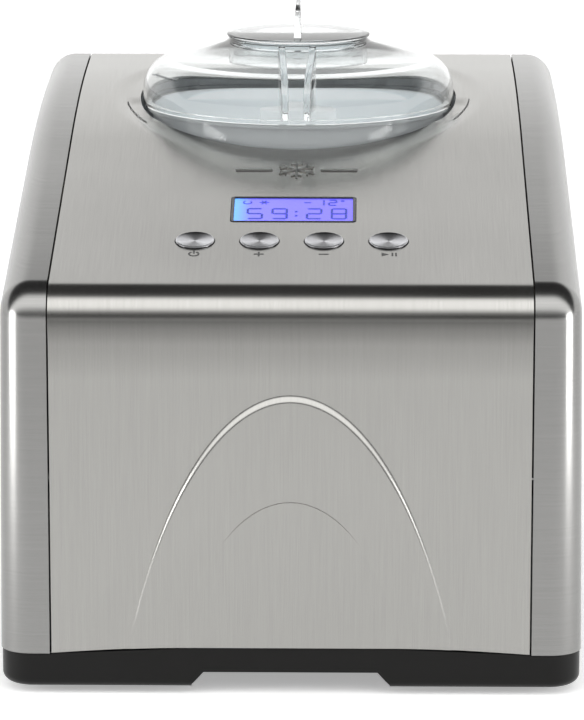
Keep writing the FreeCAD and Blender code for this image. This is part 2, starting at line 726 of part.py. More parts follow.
def lid_inner_edges():
    """Space under the dome, reaching a little way into its wall."""
    cr, cz, lean = lid_outline()
    inset = LID_T / 2
    rad = LID_SHOULDER_R - inset
    tr = cr + rad * math.sin(lean)
    tz = cz + rad * math.cos(lean)
    return [
        rim_arc(cr, cz, rad, 0, 90 - LID_TOP_SLOPE),
        seg(tr, tz, FILL_R + 0.5, dome_z(FILL_R + 0.5, inset)),
        seg(FILL_R + 0.5, dome_z(FILL_R + 0.5, inset), FILL_R + 0.5, BOWL_RIM_Z),
        seg(FILL_R + 0.5, BOWL_RIM_Z, LID_R - inset, BOWL_RIM_Z),
        seg(LID_R - inset, BOWL_RIM_Z, LID_R - inset, cz),
    ]


def refill_cap():
    plug_r = FILL_R - 0.5
    edges = [
        seg(0, CAP_Z + CAP_T, CAP_R - 0.8, CAP_Z + CAP_T),
        seg(CAP_R - 0.8, CAP_Z + CAP_T, CAP_R, CAP_Z + CAP_T - 0.8),
        seg(CAP_R, CAP_Z + CAP_T - 0.8, CAP_R, CAP_Z),
        seg(CAP_R, CAP_Z, plug_r, CAP_Z),
        seg(plug_r, CAP_Z, plug_r, CAP_Z - 8),
        seg(plug_r, CAP_Z - 8, plug_r - 1.6, CAP_Z - 8),
        seg(plug_r - 1.6, CAP_Z - 8, plug_r - 1.6, CAP_Z),
        seg(plug_r - 1.6, CAP_Z, 0, CAP_Z),
        seg(0, CAP_Z, 0, CAP_Z + CAP_T),
    ]
    disc = turned_edges(edges, 0, AXIS_Y)
    z0 = CAP_Z + CAP_T - 0.5
    corners = [
        Vec(-2.0, AXIS_Y - FIN_HALF, z0), Vec(2.0, AXIS_Y - FIN_HALF, z0),
        Vec(1.1, AXIS_Y - FIN_HALF, FIN_TOP), Vec(-1.1, AXIS_Y - FIN_HALF, FIN_TOP),
    ]
    fin = Part.Face(Part.makePolygon(corners + [corners[0]])).extrude(Vec(0, 2 * FIN_HALF, 0))
    ends = [e for e in fin.Edges if e.BoundBox.ZMin > FIN_TOP - 0.01 and e.BoundBox.XLength > 1]
    fin = fin.makeFillet(9.0, ends)
    return disc.fuse(fin).removeSplitter()


# ---- controls ----

def button():
    """Disc key at the origin: spun face on top, collar under the panel."""
    outline = [
        (0, BUTTON_PROUD - 0.5), (BUTTON_R - 1.2, BUTTON_PROUD), (BUTTON_R - 0.5, BUTTON_PROUD),
        (BUTTON_R, BUTTON_PROUD - 0.5), (BUTTON_R, -SHEET - 1.5), (BUTTON_R + 1.5, -SHEET - 1.5),
        (BUTTON_R + 1.5, -SHEET - 2.7), (3, -SHEET - 2.7), (3, -BUTTON_BODY - 2), (0, -BUTTON_BODY - 2),
    ]
    return turned(outline, 0, 0)


def placed_button(index):
    shape = button()
    shape.rotate(Vec(0, 0, 0), Vec(1, 0, 0), FRONT_SLOPE)
    shape.translate(Vec(button_x(index), BUTTON_Y, top_z(BUTTON_Y)))
    return shape


def display_window():
    return slope_block(DISPLAY_Y, DISPLAY_W / 2, DISPLAY_H / 2, -0.2, 1.4)


def display_module():
    glass = slope_block(DISPLAY_Y, DISPLAY_W / 2 - 1.5, DISPLAY_H / 2 - 1.5, 1.7, 5.0)
    tray = slope_block(DISPLAY_Y, DISPLAY_W / 2 + 4, DISPLAY_H / 2 + 3, 5.0, 8.0)
    return glass.fuse(tray)


def control_board():
    middle = (BUTTON_Y + DISPLAY_Y) / 2
    board = slope_block(middle, 66, 42, 12.0, 13.6)
    for sx in (-1, 1):
        for sy in (-1, 1):
            board = board.cut(slope_block(middle + sy * 34, 1.7, 1.7, 11, 15, sx * 60))
    return board


def tact_switches():
    keys = []
    for i in range(4):
        body = slope_block(BUTTON_Y, 3.1, 3.1, 8.4, 11.9, button_x(i))
        stem = normal_to_slope(BUTTON_Y, 7.4, 8.6, 1.7, button_x(i))
        keys.append(body.fuse(stem))
    return group(keys)


def board_carrier():
    """Plastic frame that holds the board under the control slope."""
    middle = (BUTTON_Y + DISPLAY_Y) / 2
    frame = slope_block(middle, 74, 46, 14.0, 16.0)
    frame = frame.cut(slope_block(middle, 54, 30, 13, 17))
    posts = []
    for sx in (-1, 1):
        for sy in (-1, 1):
            posts.append(slope_block(middle + sy * 42, 3, 2.5, SHEET + 0.3, 14.1, sx * 70))
    return fused([frame] + posts)


# ---- gears ----

def involute_point(base_r, roll):
    x = base_r * (math.cos(roll) + roll * math.sin(roll))
    y = base_r * (math.sin(roll) - roll * math.cos(roll))
    return (x, y)


def gear_disc(teeth, module, z0, z1, turn, slack=0.14):
    """Spur gear at the origin; turn is the angle in degrees of a tooth's middle."""
    pressure = math.radians(20)
    pitch_r = teeth * module / 2
    base_r = pitch_r * math.cos(pressure)
    tip_r = pitch_r + 0.92 * module
    root_r = pitch_r - 1.25 * module
    half_tooth = math.pi / (2 * teeth) - slack * module / (2 * pitch_r)
    at_pitch = math.tan(pressure) - pressure
    tip_roll = math.sqrt((tip_r / base_r) ** 2 - 1)
    first = max(root_r, base_r)
    flank = []
    for k in range(4):
        roll = tip_roll * k / 3
        x, y = involute_point(base_r, roll)
        r = math.hypot(x, y)
        away = math.atan2(y, x)
        flank.append((max(r, first), half_tooth + at_pitch - away))
    points = []
    for n in range(teeth):
        middle = math.radians(turn) + 2 * math.pi * n / teeth
        points.append((root_r, middle - flank[0][1]))
        for r, a in flank:
            points.append((r, middle - a))
        for r, a in reversed(flank):
            points.append((r, middle + a))
        points.append((root_r, middle + flank[0][1]))
    clean = []
    for r, a in points:
        p = Vec(r * math.cos(a), r * math.sin(a), z0)
        if not clean or p.distanceToPoint(clean[-1]) > 0.02:
            clean.append(p)
    return Part.Face(Part.makePolygon(clean + [clean[0]])).extrude(Vec(0, 0, z1 - z0))


# The idler stands in front of the output gear and the motor in front of the idler.
IDLER_Y = AXIS_Y - (OUTPUT_TEETH + IDLER_PINION_TEETH) * GEAR_MODULE_2 / 2
MOTOR_X = (IDLER_TEETH + PINION_TEETH) * GEAR_MODULE_1 / 2
WHEEL_Z = 90.0
FIRST_Z = 76.0


def output_gear():
    wheel = gear_disc(OUTPUT_TEETH, GEAR_MODULE_2, WHEEL_Z, WHEEL_Z + 9, -90)
    wheel = wheel.fuse(cyl(10, 0, 0, WHEEL_Z - 4, WHEEL_Z + 9.5))
    wheel = wheel.cut(cyl(SHAFT_R, 0, 0, 60, 120))
    for i in range(6):
        t = math.radians(60 * i)
        wheel = wheel.cut(cyl(5, 19 * math.cos(t), 19 * math.sin(t), 60, 120))
    wheel.translate(Vec(0, AXIS_Y, 0))
    return wheel


def idler_gear():
    gap = 360.0 / IDLER_PINION_TEETH / 2
    pinion = gear_disc(IDLER_PINION_TEETH, GEAR_MODULE_2, FIRST_Z + 7, WHEEL_Z + 9.5, 90 + gap)
    wheel = gear_disc(IDLER_TEETH, GEAR_MODULE_1, FIRST_Z, FIRST_Z + 7, 0)
    shape = wheel.fuse(pinion).cut(cyl(3 + RUN_GAP, 0, 0, 60, 120))
    shape.translate(Vec(0, IDLER_Y, 0))
    return shape


def motor_pinion():
    gap = 360.0 / PINION_TEETH / 2
    shape = gear_disc(PINION_TEETH, GEAR_MODULE_1, FIRST_Z - 1, FIRST_Z + 8, 180 + gap)
    shape = shape.cut(cyl(2.5, 0, 0, 60, 120))
    shape.translate(Vec(MOTOR_X, IDLER_Y, 0))
    return shape


def idler_pin():
    return cyl(3, 0, IDLER_Y, GEARBOX_Z0 - 1, GEARBOX_Z1 + 1)


def motor_shaft():
    return cyl(2.5, MOTOR_X, IDLER_Y, 30, FIRST_Z + 9)


def gearbox_plan(inset):
    """Rounded tray outline that surrounds the whole gear train."""
    big = cyl(40 - inset, 0, AXIS_Y, 0, 1)
    mid = cyl(32 - inset, 0, IDLER_Y, 0, 1)
    small = cyl(16 - inset, MOTOR_X, IDLER_Y, 0, 1)
    bridge = box(-32 + inset, IDLER_Y, 0, 32 - inset, AXIS_Y, 1)
    shape = fused([big, mid, small, bridge])
    return max(shape.Faces, key=lambda f: f.CenterOfMass.z)


def plan_prism(inset, z0, z1):
    face = gearbox_plan(inset)
    face.translate(Vec(0, 0, z0 - 1))
    return face.extrude(Vec(0, 0, z1 - z0))


GEARBOX_BOSSES = [
    (-36, AXIS_Y - 26), (36, AXIS_Y - 10), (0, AXIS_Y + 42),
    (-24, IDLER_Y - 24), (24, IDLER_Y - 27),
]


def gearbox_housing():
    tray = plan_prism(0, GEARBOX_Z0, GEARBOX_Z1 - 3)
    for x, y in GEARBOX_BOSSES:
        tray = tray.fuse(cyl(5, x, y, GEARBOX_Z0, GEARBOX_Z1 - 3))
    tray = tray.cut(plan_prism(3, GEARBOX_Z0 + 3, GEARBOX_Z1))
    for x, y in GEARBOX_BOSSES:
        tray = tray.cut(cyl(1.7, x, y, GEARBOX_Z0 + 8, GEARBOX_Z1))
    tray = tray.fuse(cyl(9, 0, AXIS_Y, GEARBOX_Z0, GEARBOX_Z0 + 14))
    tray = tray.cut(cyl(SHAFT_R + RUN_GAP, 0, AXIS_Y, GEARBOX_Z0 - 5, GEARBOX_Z0 + 20))
    tray = tray.cut(cyl(3.0, 0, IDLER_Y, GEARBOX_Z0 - 5, GEARBOX_Z0 + 8))
    tray = tray.cut(cyl(8.0, MOTOR_X, IDLER_Y, GEARBOX_Z0 - 5, GEARBOX_Z0 + 8))
    return tray.removeSplitter()


def gearbox_cover():
    plate = plan_prism(0, GEARBOX_Z1 - 2.9, GEARBOX_Z1)
    for x, y in GEARBOX_BOSSES:
        plate = plate.fuse(cyl(5, x, y, GEARBOX_Z1 - 2.9, GEARBOX_Z1))
    plate = plate.fuse(cyl(12, 0, AXIS_Y, GEARBOX_Z1 - 2.9, GEARBOX_Z1 + 9))
    plate = plate.cut(cyl(BUSH_R - 1, 0, AXIS_Y, 60, 130))
    plate = plate.cut(cyl(3.0, 0, IDLER_Y, 60, 130))
    for x, y in GEARBOX_BOSSES:
        plate = plate.cut(cyl(2.2, x, y, 60, 130))
    return plate.removeSplitter()


def gearbox_screws():
    screws = []
    for x, y in GEARBOX_BOSSES:
        head = cyl(3.4, x, y, GEARBOX_Z1 + 0.05, GEARBOX_Z1 + 2.6)
        shank = cyl(1.6, x, y, GEARBOX_Z1 - 20, GEARBOX_Z1 + 0.1)
        socket = hexagon(1.5, GEARBOX_Z1 + 1.2, GEARBOX_Z1 + 4)
        socket.translate(Vec(x, y, 0))
        screws.append(head.fuse(shank).cut(socket))
    return group(screws)


def drive_shaft():
    shaft = cyl(SHAFT_R, 0, 0, SHAFT_BOTTOM, TUBE_TOP - 4)
    shaft = shaft.fuse(hexagon(SHAFT_HEX_R - 0.4, TUBE_TOP - 4, SHAFT_TOP))
    shaft.translate(Vec(0, AXIS_Y, 0))
    return shaft


def shaft_bush():
    """Bronze bush in the gearbox cover's boss."""
    return ring(BUSH_R - 1, SHAFT_R + RUN_GAP, 0, AXIS_Y, GEARBOX_Z1 - 2.9, GEARBOX_Z1 + 9)


def pot_bush():
    """Bush in the middle of the pot's floor, flanged on top."""
    z_low = BOWL_FLOOR_Z - 1.0 - POT_FLOOR_T
    outline = [
        (SHAFT_R + RUN_GAP, z_low - 8), (BUSH_R, z_low - 8), (BUSH_R, BOWL_FLOOR_Z - 0.9),
        (SHAFT_R + RUN_GAP, BOWL_FLOOR_Z - 0.9),
    ]
    return turned(outline, 0, AXIS_Y)


def shaft_seal():
    """Rubber lip seal round the shaft above the pot's bush."""
    z0 = BOWL_FLOOR_Z - 0.8
    outline = [
        (SHAFT_R + 0.08, z0), (TUBE_R_IN - 0.4, z0), (TUBE_R_IN - 0.4, z0 + 5),
        (SHAFT_R + 0.6, z0 + 7), (SHAFT_R + 0.08, z0 + 7),
    ]
    return turned(outline, 0, AXIS_Y)


def drive_motor():
    can = cyl(27, MOTOR_X, IDLER_Y, 22, GEARBOX_Z0 - 0.2)
    can = can.fuse(cyl(7.8, MOTOR_X, IDLER_Y, GEARBOX_Z0 - 1, GEARBOX_Z0 + 3))
    can = can.cut(cyl(3.2, MOTOR_X, IDLER_Y, 28, 90))
    for i in range(8):
        t = math.radians(45 * i)
        x = MOTOR_X + 20 * math.cos(t)
        y = IDLER_Y + 20 * math.sin(t)
        can = can.cut(cyl(3, x, y, 15, 30))
    return can


def drive_frame():
    """Folded steel table that carries the gearbox over the base."""
    z1 = GEARBOX_Z0 - 0.3
    z0 = z1 - 2.5
    table = box(-52, IDLER_Y - 34, z0, 62, AXIS_Y + 52, z1)
    table = table.cut(cyl(28.5, MOTOR_X, IDLER_Y, z0 - 5, z1 + 5))
    table = table.cut(cyl(12, 0, AXIS_Y, z0 - 5, z1 + 5))
    table = table.cut(cyl(6, 0, IDLER_Y, z0 - 5, z1 + 5))
    legs = []
    for x in (-52, 59.5):
        legs.append(box(x, AXIS_Y - 30, BASE_TOP_FLOOR + 0.1, x + 2.5, AXIS_Y + 52, z1))
    for x in (-64, 59.5):
        legs.append(box(x, AXIS_Y - 30, BASE_TOP_FLOOR + 0.1, x + 14.5, AXIS_Y + 52, BASE_TOP_FLOOR + 2.6))
    front_leg = box(-52, IDLER_Y - 34, BASE_TOP_FLOOR + 0.1, -20, IDLER_Y - 31.5, z1)
    return fused([table] + legs + [front_leg])


def pot_brackets():
    """Two upright sheet brackets that hold the foam jacket off the base."""
    z_top = BOWL_FLOOR_Z - 1.0 - POT_FLOOR_T - 12.2
    z_foot = BASE_TOP_FLOOR + 0.1
    y0 = AXIS_Y - 45
    y1 = AXIS_Y + 45
    parts = []
    for sign in (-1, 1):
        x0 = sign * 84.0
        near, far = sorted((x0, x0 + sign * 2))
        wall = box(near, y0, z_foot, far, y1, z_top)
        near, far = sorted((x0, x0 - sign * 20))
        shelf = box(near, y0, z_top - 2, far, y1, z_top)
        near, far = sorted((x0, x0 + sign * 16))
        toe = box(near, y0, z_foot, far, y1, z_foot + 2)
        parts.append(fused([wall, shelf, toe]))
    return group(parts)


# ---- refrigeration ----

def compressor():
    can = cyl(COMP_R, COMP_X, COMP_Y, COMP_Z0, COMP_Z1)
    rims = [e for e in can.Edges if isinstance(e.Curve, Part.Circle)]
    can = can.makeFillet(22, rims)
    weld = ring(COMP_R + 1.6, COMP_R - 4, COMP_X, COMP_Y, 92, 96)
    terminal = box(COMP_X - 14, COMP_Y + COMP_R - 8, 66, COMP_X + 14, COMP_Y + COMP_R + 10, 92)
    return fused([can, weld, terminal])


def comp_feet():
    return [(COMP_X + sx * 44, COMP_Y + sy * 44) for sx in (-1, 1) for sy in (-1, 1)]


def compressor_plate():
    z0 = 29.0
    plate = box(COMP_X - 53, COMP_Y - 53, z0, COMP_X + 53, COMP_Y + 53, z0 + 3)
    plate = plate.fuse(ring(30, 22, COMP_X, COMP_Y, z0, COMP_Z0 + 3.0).cut(
        cyl(COMP_R, COMP_X, COMP_Y, COMP_Z0 - 0.0, COMP_Z1)))
    for x, y in comp_feet():
        plate = plate.cut(cyl(5.5, x, y, 20, 40))
    return plate


def compressor_grommets():
    items = []
    for x, y in comp_feet():
        outline = [
            (2.6, BASE_TOP_FLOOR + 0.1), (8.5, BASE_TOP_FLOOR + 0.1), (8.5, 28.9), (5.3, 28.9),
            (5.3, 32.1), (8.0, 32.1), (7.0, 35.5), (2.6, 35.5),
        ]
        items.append(turned(outline, x, y))
    return group(items)


def compressor_bolts():
    items = []
    for x, y in comp_feet():
        stud = cyl(2.4, x, y, BASE_TOP_FLOOR + 0.1, 38.5)
        head = hexagon(4.0, 35.6, 38.4)
        head.translate(Vec(x, y, 0))
        items.append(stud.fuse(head))
    return group(items)


COND_Y0 = -160.0
COND_Y1 = -52.0
COND_ROWS = 6


def condenser_rows():
    return [36.0 + i * 18.0 for i in range(COND_ROWS)]


def condenser_tube():
    x = (COND_X0 + COND_X1) / 2
    pts = [(x, COND_Y1 + 14, condenser_rows()[0])]
    side = COND_Y0 - 11
    for i, z in enumerate(condenser_rows()):
        pts.append((x, side, z))
        if i < COND_ROWS - 1:
            pts.append((x, side, z + 18.0))
        side = COND_Y1 + 11 if side < -100 else COND_Y0 - 11
    return tube_run(pts, 3.0, 8.0)


def condenser_fins():
    x0 = COND_X0
    plates = []
    count = 24
    for i in range(count):
        y = COND_Y0 + i * (COND_Y1 - COND_Y0 - 0.6) / (count - 1)
        plate = box(x0, y, 26, COND_X1, y + 0.6, 136)
        for z in condenser_rows():
            plate = plate.cut(cyl_y(3.1, y - 1, y + 2, (COND_X0 + COND_X1) / 2, z))
        plates.append(plate)
    return group(plates)


def condenser_fan():
    """Axial impeller: seven pitched blades on a cupped hub."""
    hub = cyl_x(15, FAN_X - 9, FAN_X + 9, 0, 0)
    hub = hub.cut(cyl_x(12.5, FAN_X - 2, FAN_X + 12, 0, 0))
    blades = []
    for i in range(7):
        blade = Part.makeBox(1.6, 16, FAN_R - 13, Vec(FAN_X - 0.8, -8, 13))
        blade.rotate(Vec(FAN_X, 0, 0), Vec(0, 0, 1), 34)
        blade.rotate(Vec(0, 0, 0), Vec(1, 0, 0), 360.0 / 7 * i)
        blades.append(blade)
    shape = fused([hub] + blades)
    shape = shape.common(cyl_x(FAN_R, FAN_X - 20, FAN_X + 20, 0, 0))
    shape = shape.cut(cyl_x(2.0, FAN_X - 20, FAN_X + 20, 0, 0))
    shape.translate(Vec(0, FAN_Y, FAN_Z))
    return shape


def fan_shaft():
    return cyl_x(2.0, FAN_X - 8, FAN_X + 34, FAN_Y, FAN_Z)


def fan_motor():
    body = cyl_x(18, FAN_X + 12, FAN_X + 38, FAN_Y, FAN_Z)
    body = body.cut(cyl_x(2.0 + RUN_GAP, FAN_X + 5, FAN_X + 36, FAN_Y, FAN_Z))
    return body


def fan_shroud():
    """Square frame with a round throat, spokes and feet on the base."""
    x0 = COND_X1 + 0.5
    x1 = FAN_X + 14
    half = FAN_R + 5
    frame = box(x0, FAN_Y - half, BASE_TOP_FLOOR + 0.1, x1, FAN_Y + half, FAN_Z + half)
    frame = frame.cut(cyl_x(FAN_R + 1.5, x0 - 5, x1 - 3, FAN_Y, FAN_Z))
    frame = frame.cut(cyl_x(FAN_R - 1, x0 - 5, x1 + 5, FAN_Y, FAN_Z))
    frame = frame.cut(box(x0 + 3, FAN_Y - half + 3, BASE_TOP_FLOOR + 3, x1 - 3, FAN_Y - 14, FAN_Z - half - 2))
    spokes = []
    for k in range(4):
        spoke = box(x1 - 3, -2.5, 19, x1, 2.5, FAN_R + 1)
        spoke.rotate(Vec(0, 0, 0), Vec(1, 0, 0), 45 + 90 * k)
        spoke.translate(Vec(0, FAN_Y, FAN_Z))
        spokes.append(spoke)
    hub = cyl_x(20.5, x1 - 3, x1, FAN_Y, FAN_Z).cut(cyl_x(18.05, x1 - 9, x1 + 9, FAN_Y, FAN_Z))
    return fused([frame, hub] + spokes)


def filter_drier():
    """Copper capsule lying along the front of the base."""
    body = cyl_x(8, -66, -22, -172, 40)
    rims = [e for e in body.Edges if isinstance(e.Curve, Part.Circle)]
    return body.makeFillet(5, rims)


def discharge_line():
    """Hot gas pipe from the compressor's dome to the condenser's top row."""
    x = (COND_X0 + COND_X1) / 2
    top = condenser_rows()[-1]
    end_y = COND_Y1 + 11
    pts = [(COMP_X, COMP_Y, COMP_Z1 + 0.1), (COMP_X, COMP_Y, 166), (-30, COMP_Y, 166),
           (x, -60, 166), (x, end_y + 0.0, 150), (x, end_y, top + 3.2)]
    return tube_run(pts, 2.6, 7.0)


def suction_line():
    """Return pipe from the evaporator down to the compressor's side."""
    z = COIL_Z0 + COIL_TURNS * COIL_PITCH
    pts = [(COIL_R, AXIS_Y + 0.3, z), (COIL_R, AXIS_Y + 15, z + 4), (LINE_X, AXIS_Y + 28, z + 4),
           (LINE_X, AXIS_Y - 12, 150), (LINE_X, -70, 130), (LINE_X, COMP_Y, 110),
           (COMP_X + COMP_R + 0.3, COMP_Y, 110)]
    return tube_run(pts, 3.0, 6.0)


def capillary_line():
    """Thin pipe from the drier to the evaporator's lower end."""
    pts = [
        (-21.9, -172, 40), (-12, -172, 40), (-12, -172, 168), (-12, -44, 172), (60, -44, 172),
        (110, 20, 158), (108, AXIS_Y - 23, COIL_Z0), (COIL_R, AXIS_Y - 13, COIL_Z0),
        (COIL_R, AXIS_Y - 0.5, COIL_Z0),
    ]
    return tube_run(pts, 1.2, 4.0)


# ---- electrics ----

def power_board():
    board = box(-50, 130, 22, 20, 178, 23.6)
    relay = box(-44, 136, 23.5, -20, 160, 46)
    capacitor = box(-12, 134, 23.5, 0, 154, 40)
    filter_can = cyl(8, 10, 166, 23.5, 46)
    parts = [board, relay, capacitor, filter_can]
    legs = [cyl(3, x, y, BASE_TOP_FLOOR + 0.1, 22.1) for x in (-46, 16) for y in (134, 174)]
    return fused(parts + legs)


def cord_gland():
    """Moulded entry bush for the supply lead in the rear cover."""
    y = REAR_FACE
    parts = [cyl_y(12, y + 0.05, y + 3.0, -84, 48), cyl_y(9.0, y - 6, y + 0.1, -84, 48),
             cyl_y(11, y - 6, y - SHEET - 0.2, -84, 48)]
    return fused(parts).cut(cyl_y(3.6, y - 10, y + 10, -84, 48))


PIECES = [
    ("top_front_panel", top_front_panel),
    ("rear_cover", rear_cover),
    ("cover_screws", cover_screws),
    ("base_pan", base_pan),
    ("rubber_feet", rubber_feet),
    ("opening_ring", opening_ring),
    ("cooling_pot", cooling_pot),
    ("evaporator_coil", evaporator_coil),
    ("insulation_jacket", insulation_jacket),
    ("bowl", bowl),
    ("paddle", paddle),
    ("lid", lid),
    ("refill_cap", refill_cap),
    ("display_window", display_window),
    ("display_module", display_module),
    ("control_board", control_board),
    ("tact_switches", tact_switches),
    ("board_carrier", board_carrier),
    ("output_gear", output_gear),
    ("idler_gear", idler_gear),
    ("motor_pinion", motor_pinion),
    ("idler_pin", idler_pin),
    ("motor_shaft", motor_shaft),
    ("gearbox_housing", gearbox_housing),
    ("gearbox_cover", gearbox_cover),
    ("gearbox_screws", gearbox_screws),
    ("drive_shaft", drive_shaft),
    ("shaft_bush", shaft_bush),
    ("pot_bush", pot_bush),
    ("shaft_seal", shaft_seal),
    ("drive_motor", drive_motor),
    ("drive_frame", drive_frame),
    ("pot_brackets", pot_brackets),
    ("compressor", compressor),
    ("compressor_plate", compressor_plate),
    ("compressor_grommets", compressor_grommets),
    ("compressor_bolts", compressor_bolts),
    ("condenser_tube", condenser_tube),
    ("condenser_fins", condenser_fins),
    ("condenser_fan", condenser_fan),
    ("fan_shaft", fan_shaft),
    ("fan_motor", fan_motor),
    ("fan_shroud", fan_shroud),
    ("filter_drier", filter_drier),
    ("discharge_line", discharge_line),
    ("suction_line", suction_line),
    ("capillary_line", capillary_line),
    ("power_board", power_board),
    ("cord_gland", cord_gland),
]

for piece_name, make in PIECES:
    save(piece_name, make())

save("right_side_cover", side_cover(1))
save("left_side_cover", side_cover(-1))

BUTTON_NAMES = ["button_power", "button_more", "button_less", "button_start"]
for place, button_name in enumerate(BUTTON_NAMES):
    save(button_name, placed_button(place))
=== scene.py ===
import json
import math

import bpy
from mathutils import Matrix, Vector

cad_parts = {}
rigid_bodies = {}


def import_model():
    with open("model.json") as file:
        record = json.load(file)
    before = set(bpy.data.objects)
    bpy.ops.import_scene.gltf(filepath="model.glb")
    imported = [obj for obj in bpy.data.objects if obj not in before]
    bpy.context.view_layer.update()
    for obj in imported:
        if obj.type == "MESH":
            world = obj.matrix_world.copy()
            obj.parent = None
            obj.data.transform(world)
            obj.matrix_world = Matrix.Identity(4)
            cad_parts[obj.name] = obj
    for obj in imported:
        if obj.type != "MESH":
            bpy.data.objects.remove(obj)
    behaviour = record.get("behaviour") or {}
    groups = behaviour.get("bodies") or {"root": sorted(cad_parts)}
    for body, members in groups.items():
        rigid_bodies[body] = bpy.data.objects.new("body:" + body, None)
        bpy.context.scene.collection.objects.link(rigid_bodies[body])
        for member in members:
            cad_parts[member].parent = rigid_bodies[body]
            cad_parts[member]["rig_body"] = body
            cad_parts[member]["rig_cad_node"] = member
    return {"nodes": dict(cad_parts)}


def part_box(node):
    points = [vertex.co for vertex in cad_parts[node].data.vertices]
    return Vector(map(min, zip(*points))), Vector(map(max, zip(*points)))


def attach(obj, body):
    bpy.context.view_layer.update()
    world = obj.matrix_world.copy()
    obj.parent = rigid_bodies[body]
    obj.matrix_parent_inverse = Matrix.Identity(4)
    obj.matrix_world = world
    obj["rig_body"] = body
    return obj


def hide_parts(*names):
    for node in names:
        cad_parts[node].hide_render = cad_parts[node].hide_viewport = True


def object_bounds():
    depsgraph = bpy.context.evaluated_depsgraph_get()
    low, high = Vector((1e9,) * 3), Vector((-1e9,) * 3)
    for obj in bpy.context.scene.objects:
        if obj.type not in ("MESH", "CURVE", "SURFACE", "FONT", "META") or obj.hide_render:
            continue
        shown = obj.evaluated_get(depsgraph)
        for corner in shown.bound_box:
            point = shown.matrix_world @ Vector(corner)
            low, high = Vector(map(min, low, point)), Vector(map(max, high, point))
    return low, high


# A compressor ice cream maker: brushed steel wrap and side shells on a dark
# plastic base, spun steel keys and a lit display on the front slope, and an
# aluminium bowl with its milky paddle under a clear lid and refill cap.
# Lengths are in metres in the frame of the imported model.

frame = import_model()
cad_low, cad_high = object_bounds()
nodes = frame["nodes"]

MM = 0.001

# ---- driving dimensions of the cabinet ----
PANEL_HALF = 118.2 * MM
COVER_INNER = 118.8 * MM
COVER_OUTER = 144.0 * MM
SIDE_LEAN = math.radians(0.6)
NOSE_FRONT = cad_low.y
FRONT_FACE = NOSE_FRONT + 3.0 * MM
REAR_FACE = 186.5 * MM
SHEET_BOTTOM = 21.9 * MM
SHEET_RISE = 3.0 * MM
RISE_HALF = 49.0 * MM
COVER_BOTTOM = 21.5 * MM
SHEET = 1.6 * MM
NOSE_R = 17.0 * MM
COVE_R = 17.0 * MM
CORNER_R = 18.0 * MM
COVER_EDGE_R = 16.0 * MM
KNEE_Z = 248.8 * MM
SLOPE = math.radians(13.6)
REAR_SLOPE = math.radians(3.5)
CROWN_R = 750.0 * MM
REAR_LIP = 14.0 * MM

CROWN_Y = CROWN_R * math.sin(SLOPE)
CROWN_Z = KNEE_Z - CROWN_R * math.cos(SLOPE)
CROWN_END_Y = CROWN_Y - CROWN_R * math.sin(REAR_SLOPE)
CROWN_END_Z = CROWN_Z + CROWN_R * math.cos(REAR_SLOPE)

# ---- places read from the frame ----
lid_low, lid_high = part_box("lid")
bowl_low, bowl_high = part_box("bowl")
cap_low, cap_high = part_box("refill_cap")
AXIS_Y = (lid_low.y + lid_high.y) / 2
LID_R = (lid_high.x - lid_low.x) / 2
LID_SKIRT_Z = lid_low.z
COLLAR_TOP = lid_high.z
BOWL_RIM_Z = bowl_high.z
BOWL_FLOOR_Z = bowl_low.z
BOWL_FLANGE_R = (bowl_high.x - bowl_low.x) / 2
BOWL_R = 78.5 * MM
OPENING_R = 85.3 * MM


def top_z(y):
    """Height of the cabinet's top surface over a place y."""
    if y < 0:
        return KNEE_Z + y * math.tan(SLOPE)
    if y > CROWN_END_Y:
        return CROWN_END_Z + (y - CROWN_END_Y) * math.tan(REAR_SLOPE)
    return CROWN_Z + math.sqrt(CROWN_R ** 2 - (y - CROWN_Y) ** 2)


# ---- camera ----

def add_camera():
    data = bpy.data.cameras.new("camera")
    data.sensor_width = 36.0
    data.lens = 210.0
    data.clip_end = 50.0
    camera = bpy.data.objects.new("camera", data)
    bpy.context.scene.collection.objects.link(camera)
    camera.location = (0.0332, -2.1827, 0.5943)
    camera.rotation_euler = (math.radians(78.0), 0.0, math.radians(0.93))
    bpy.context.scene.camera = camera


add_camera()


# ---- modelling helpers ----

WELD_GAP = 0.01 * MM
LATHE_GAP = 0.002 * MM
ON_AXIS = 0.01 * MM

def deselect():
    bpy.ops.object.select_all(action="DESELECT")


def pick(piece):
    deselect()
    piece.select_set(True)
    bpy.context.view_layer.objects.active = piece


def edit(piece, mode="VERT"):
    pick(piece)
    bpy.ops.object.mode_set(mode="EDIT")
    bpy.ops.mesh.select_mode(type=mode)
    bpy.ops.mesh.select_all(action="DESELECT")


def edit_all(piece):
    """Edit mode with the whole mesh selected."""
    edit(piece)
    bpy.ops.mesh.select_all(action="SELECT")


def leave_edit():
    bpy.ops.object.mode_set(mode="OBJECT")


def named(name):
    piece = bpy.context.active_object
    piece.name = name
    piece.data.name = name
    return piece


def settle(piece, place=(0, 0, 0), turn=(0, 0, 0)):
    """Puts the piece in its place and writes that place into its mesh."""
    piece.location = place
    piece.rotation_euler = turn
    pick(piece)
    bpy.ops.object.transform_apply(location=True, rotation=True, scale=True)
    return piece


def block(name, low, high):
    """Box from its low corner to its high corner."""
    low = Vector(low)
    high = Vector(high)
    deselect()
    bpy.ops.mesh.primitive_cube_add(size=1, location=(low + high) / 2)
    piece = named(name)
    piece.scale = high - low
    pick(piece)
    bpy.ops.object.transform_apply(location=True, rotation=True, scale=True)
    return piece


def edit_faces(piece, test):
    """Edit mode with the faces selected whose centre and normal pass the test."""
    edit(piece, "FACE")
    leave_edit()
    for face in piece.data.polygons:
        face.select = test(face.center, face.normal)
    bpy.ops.object.mode_set(mode="EDIT")


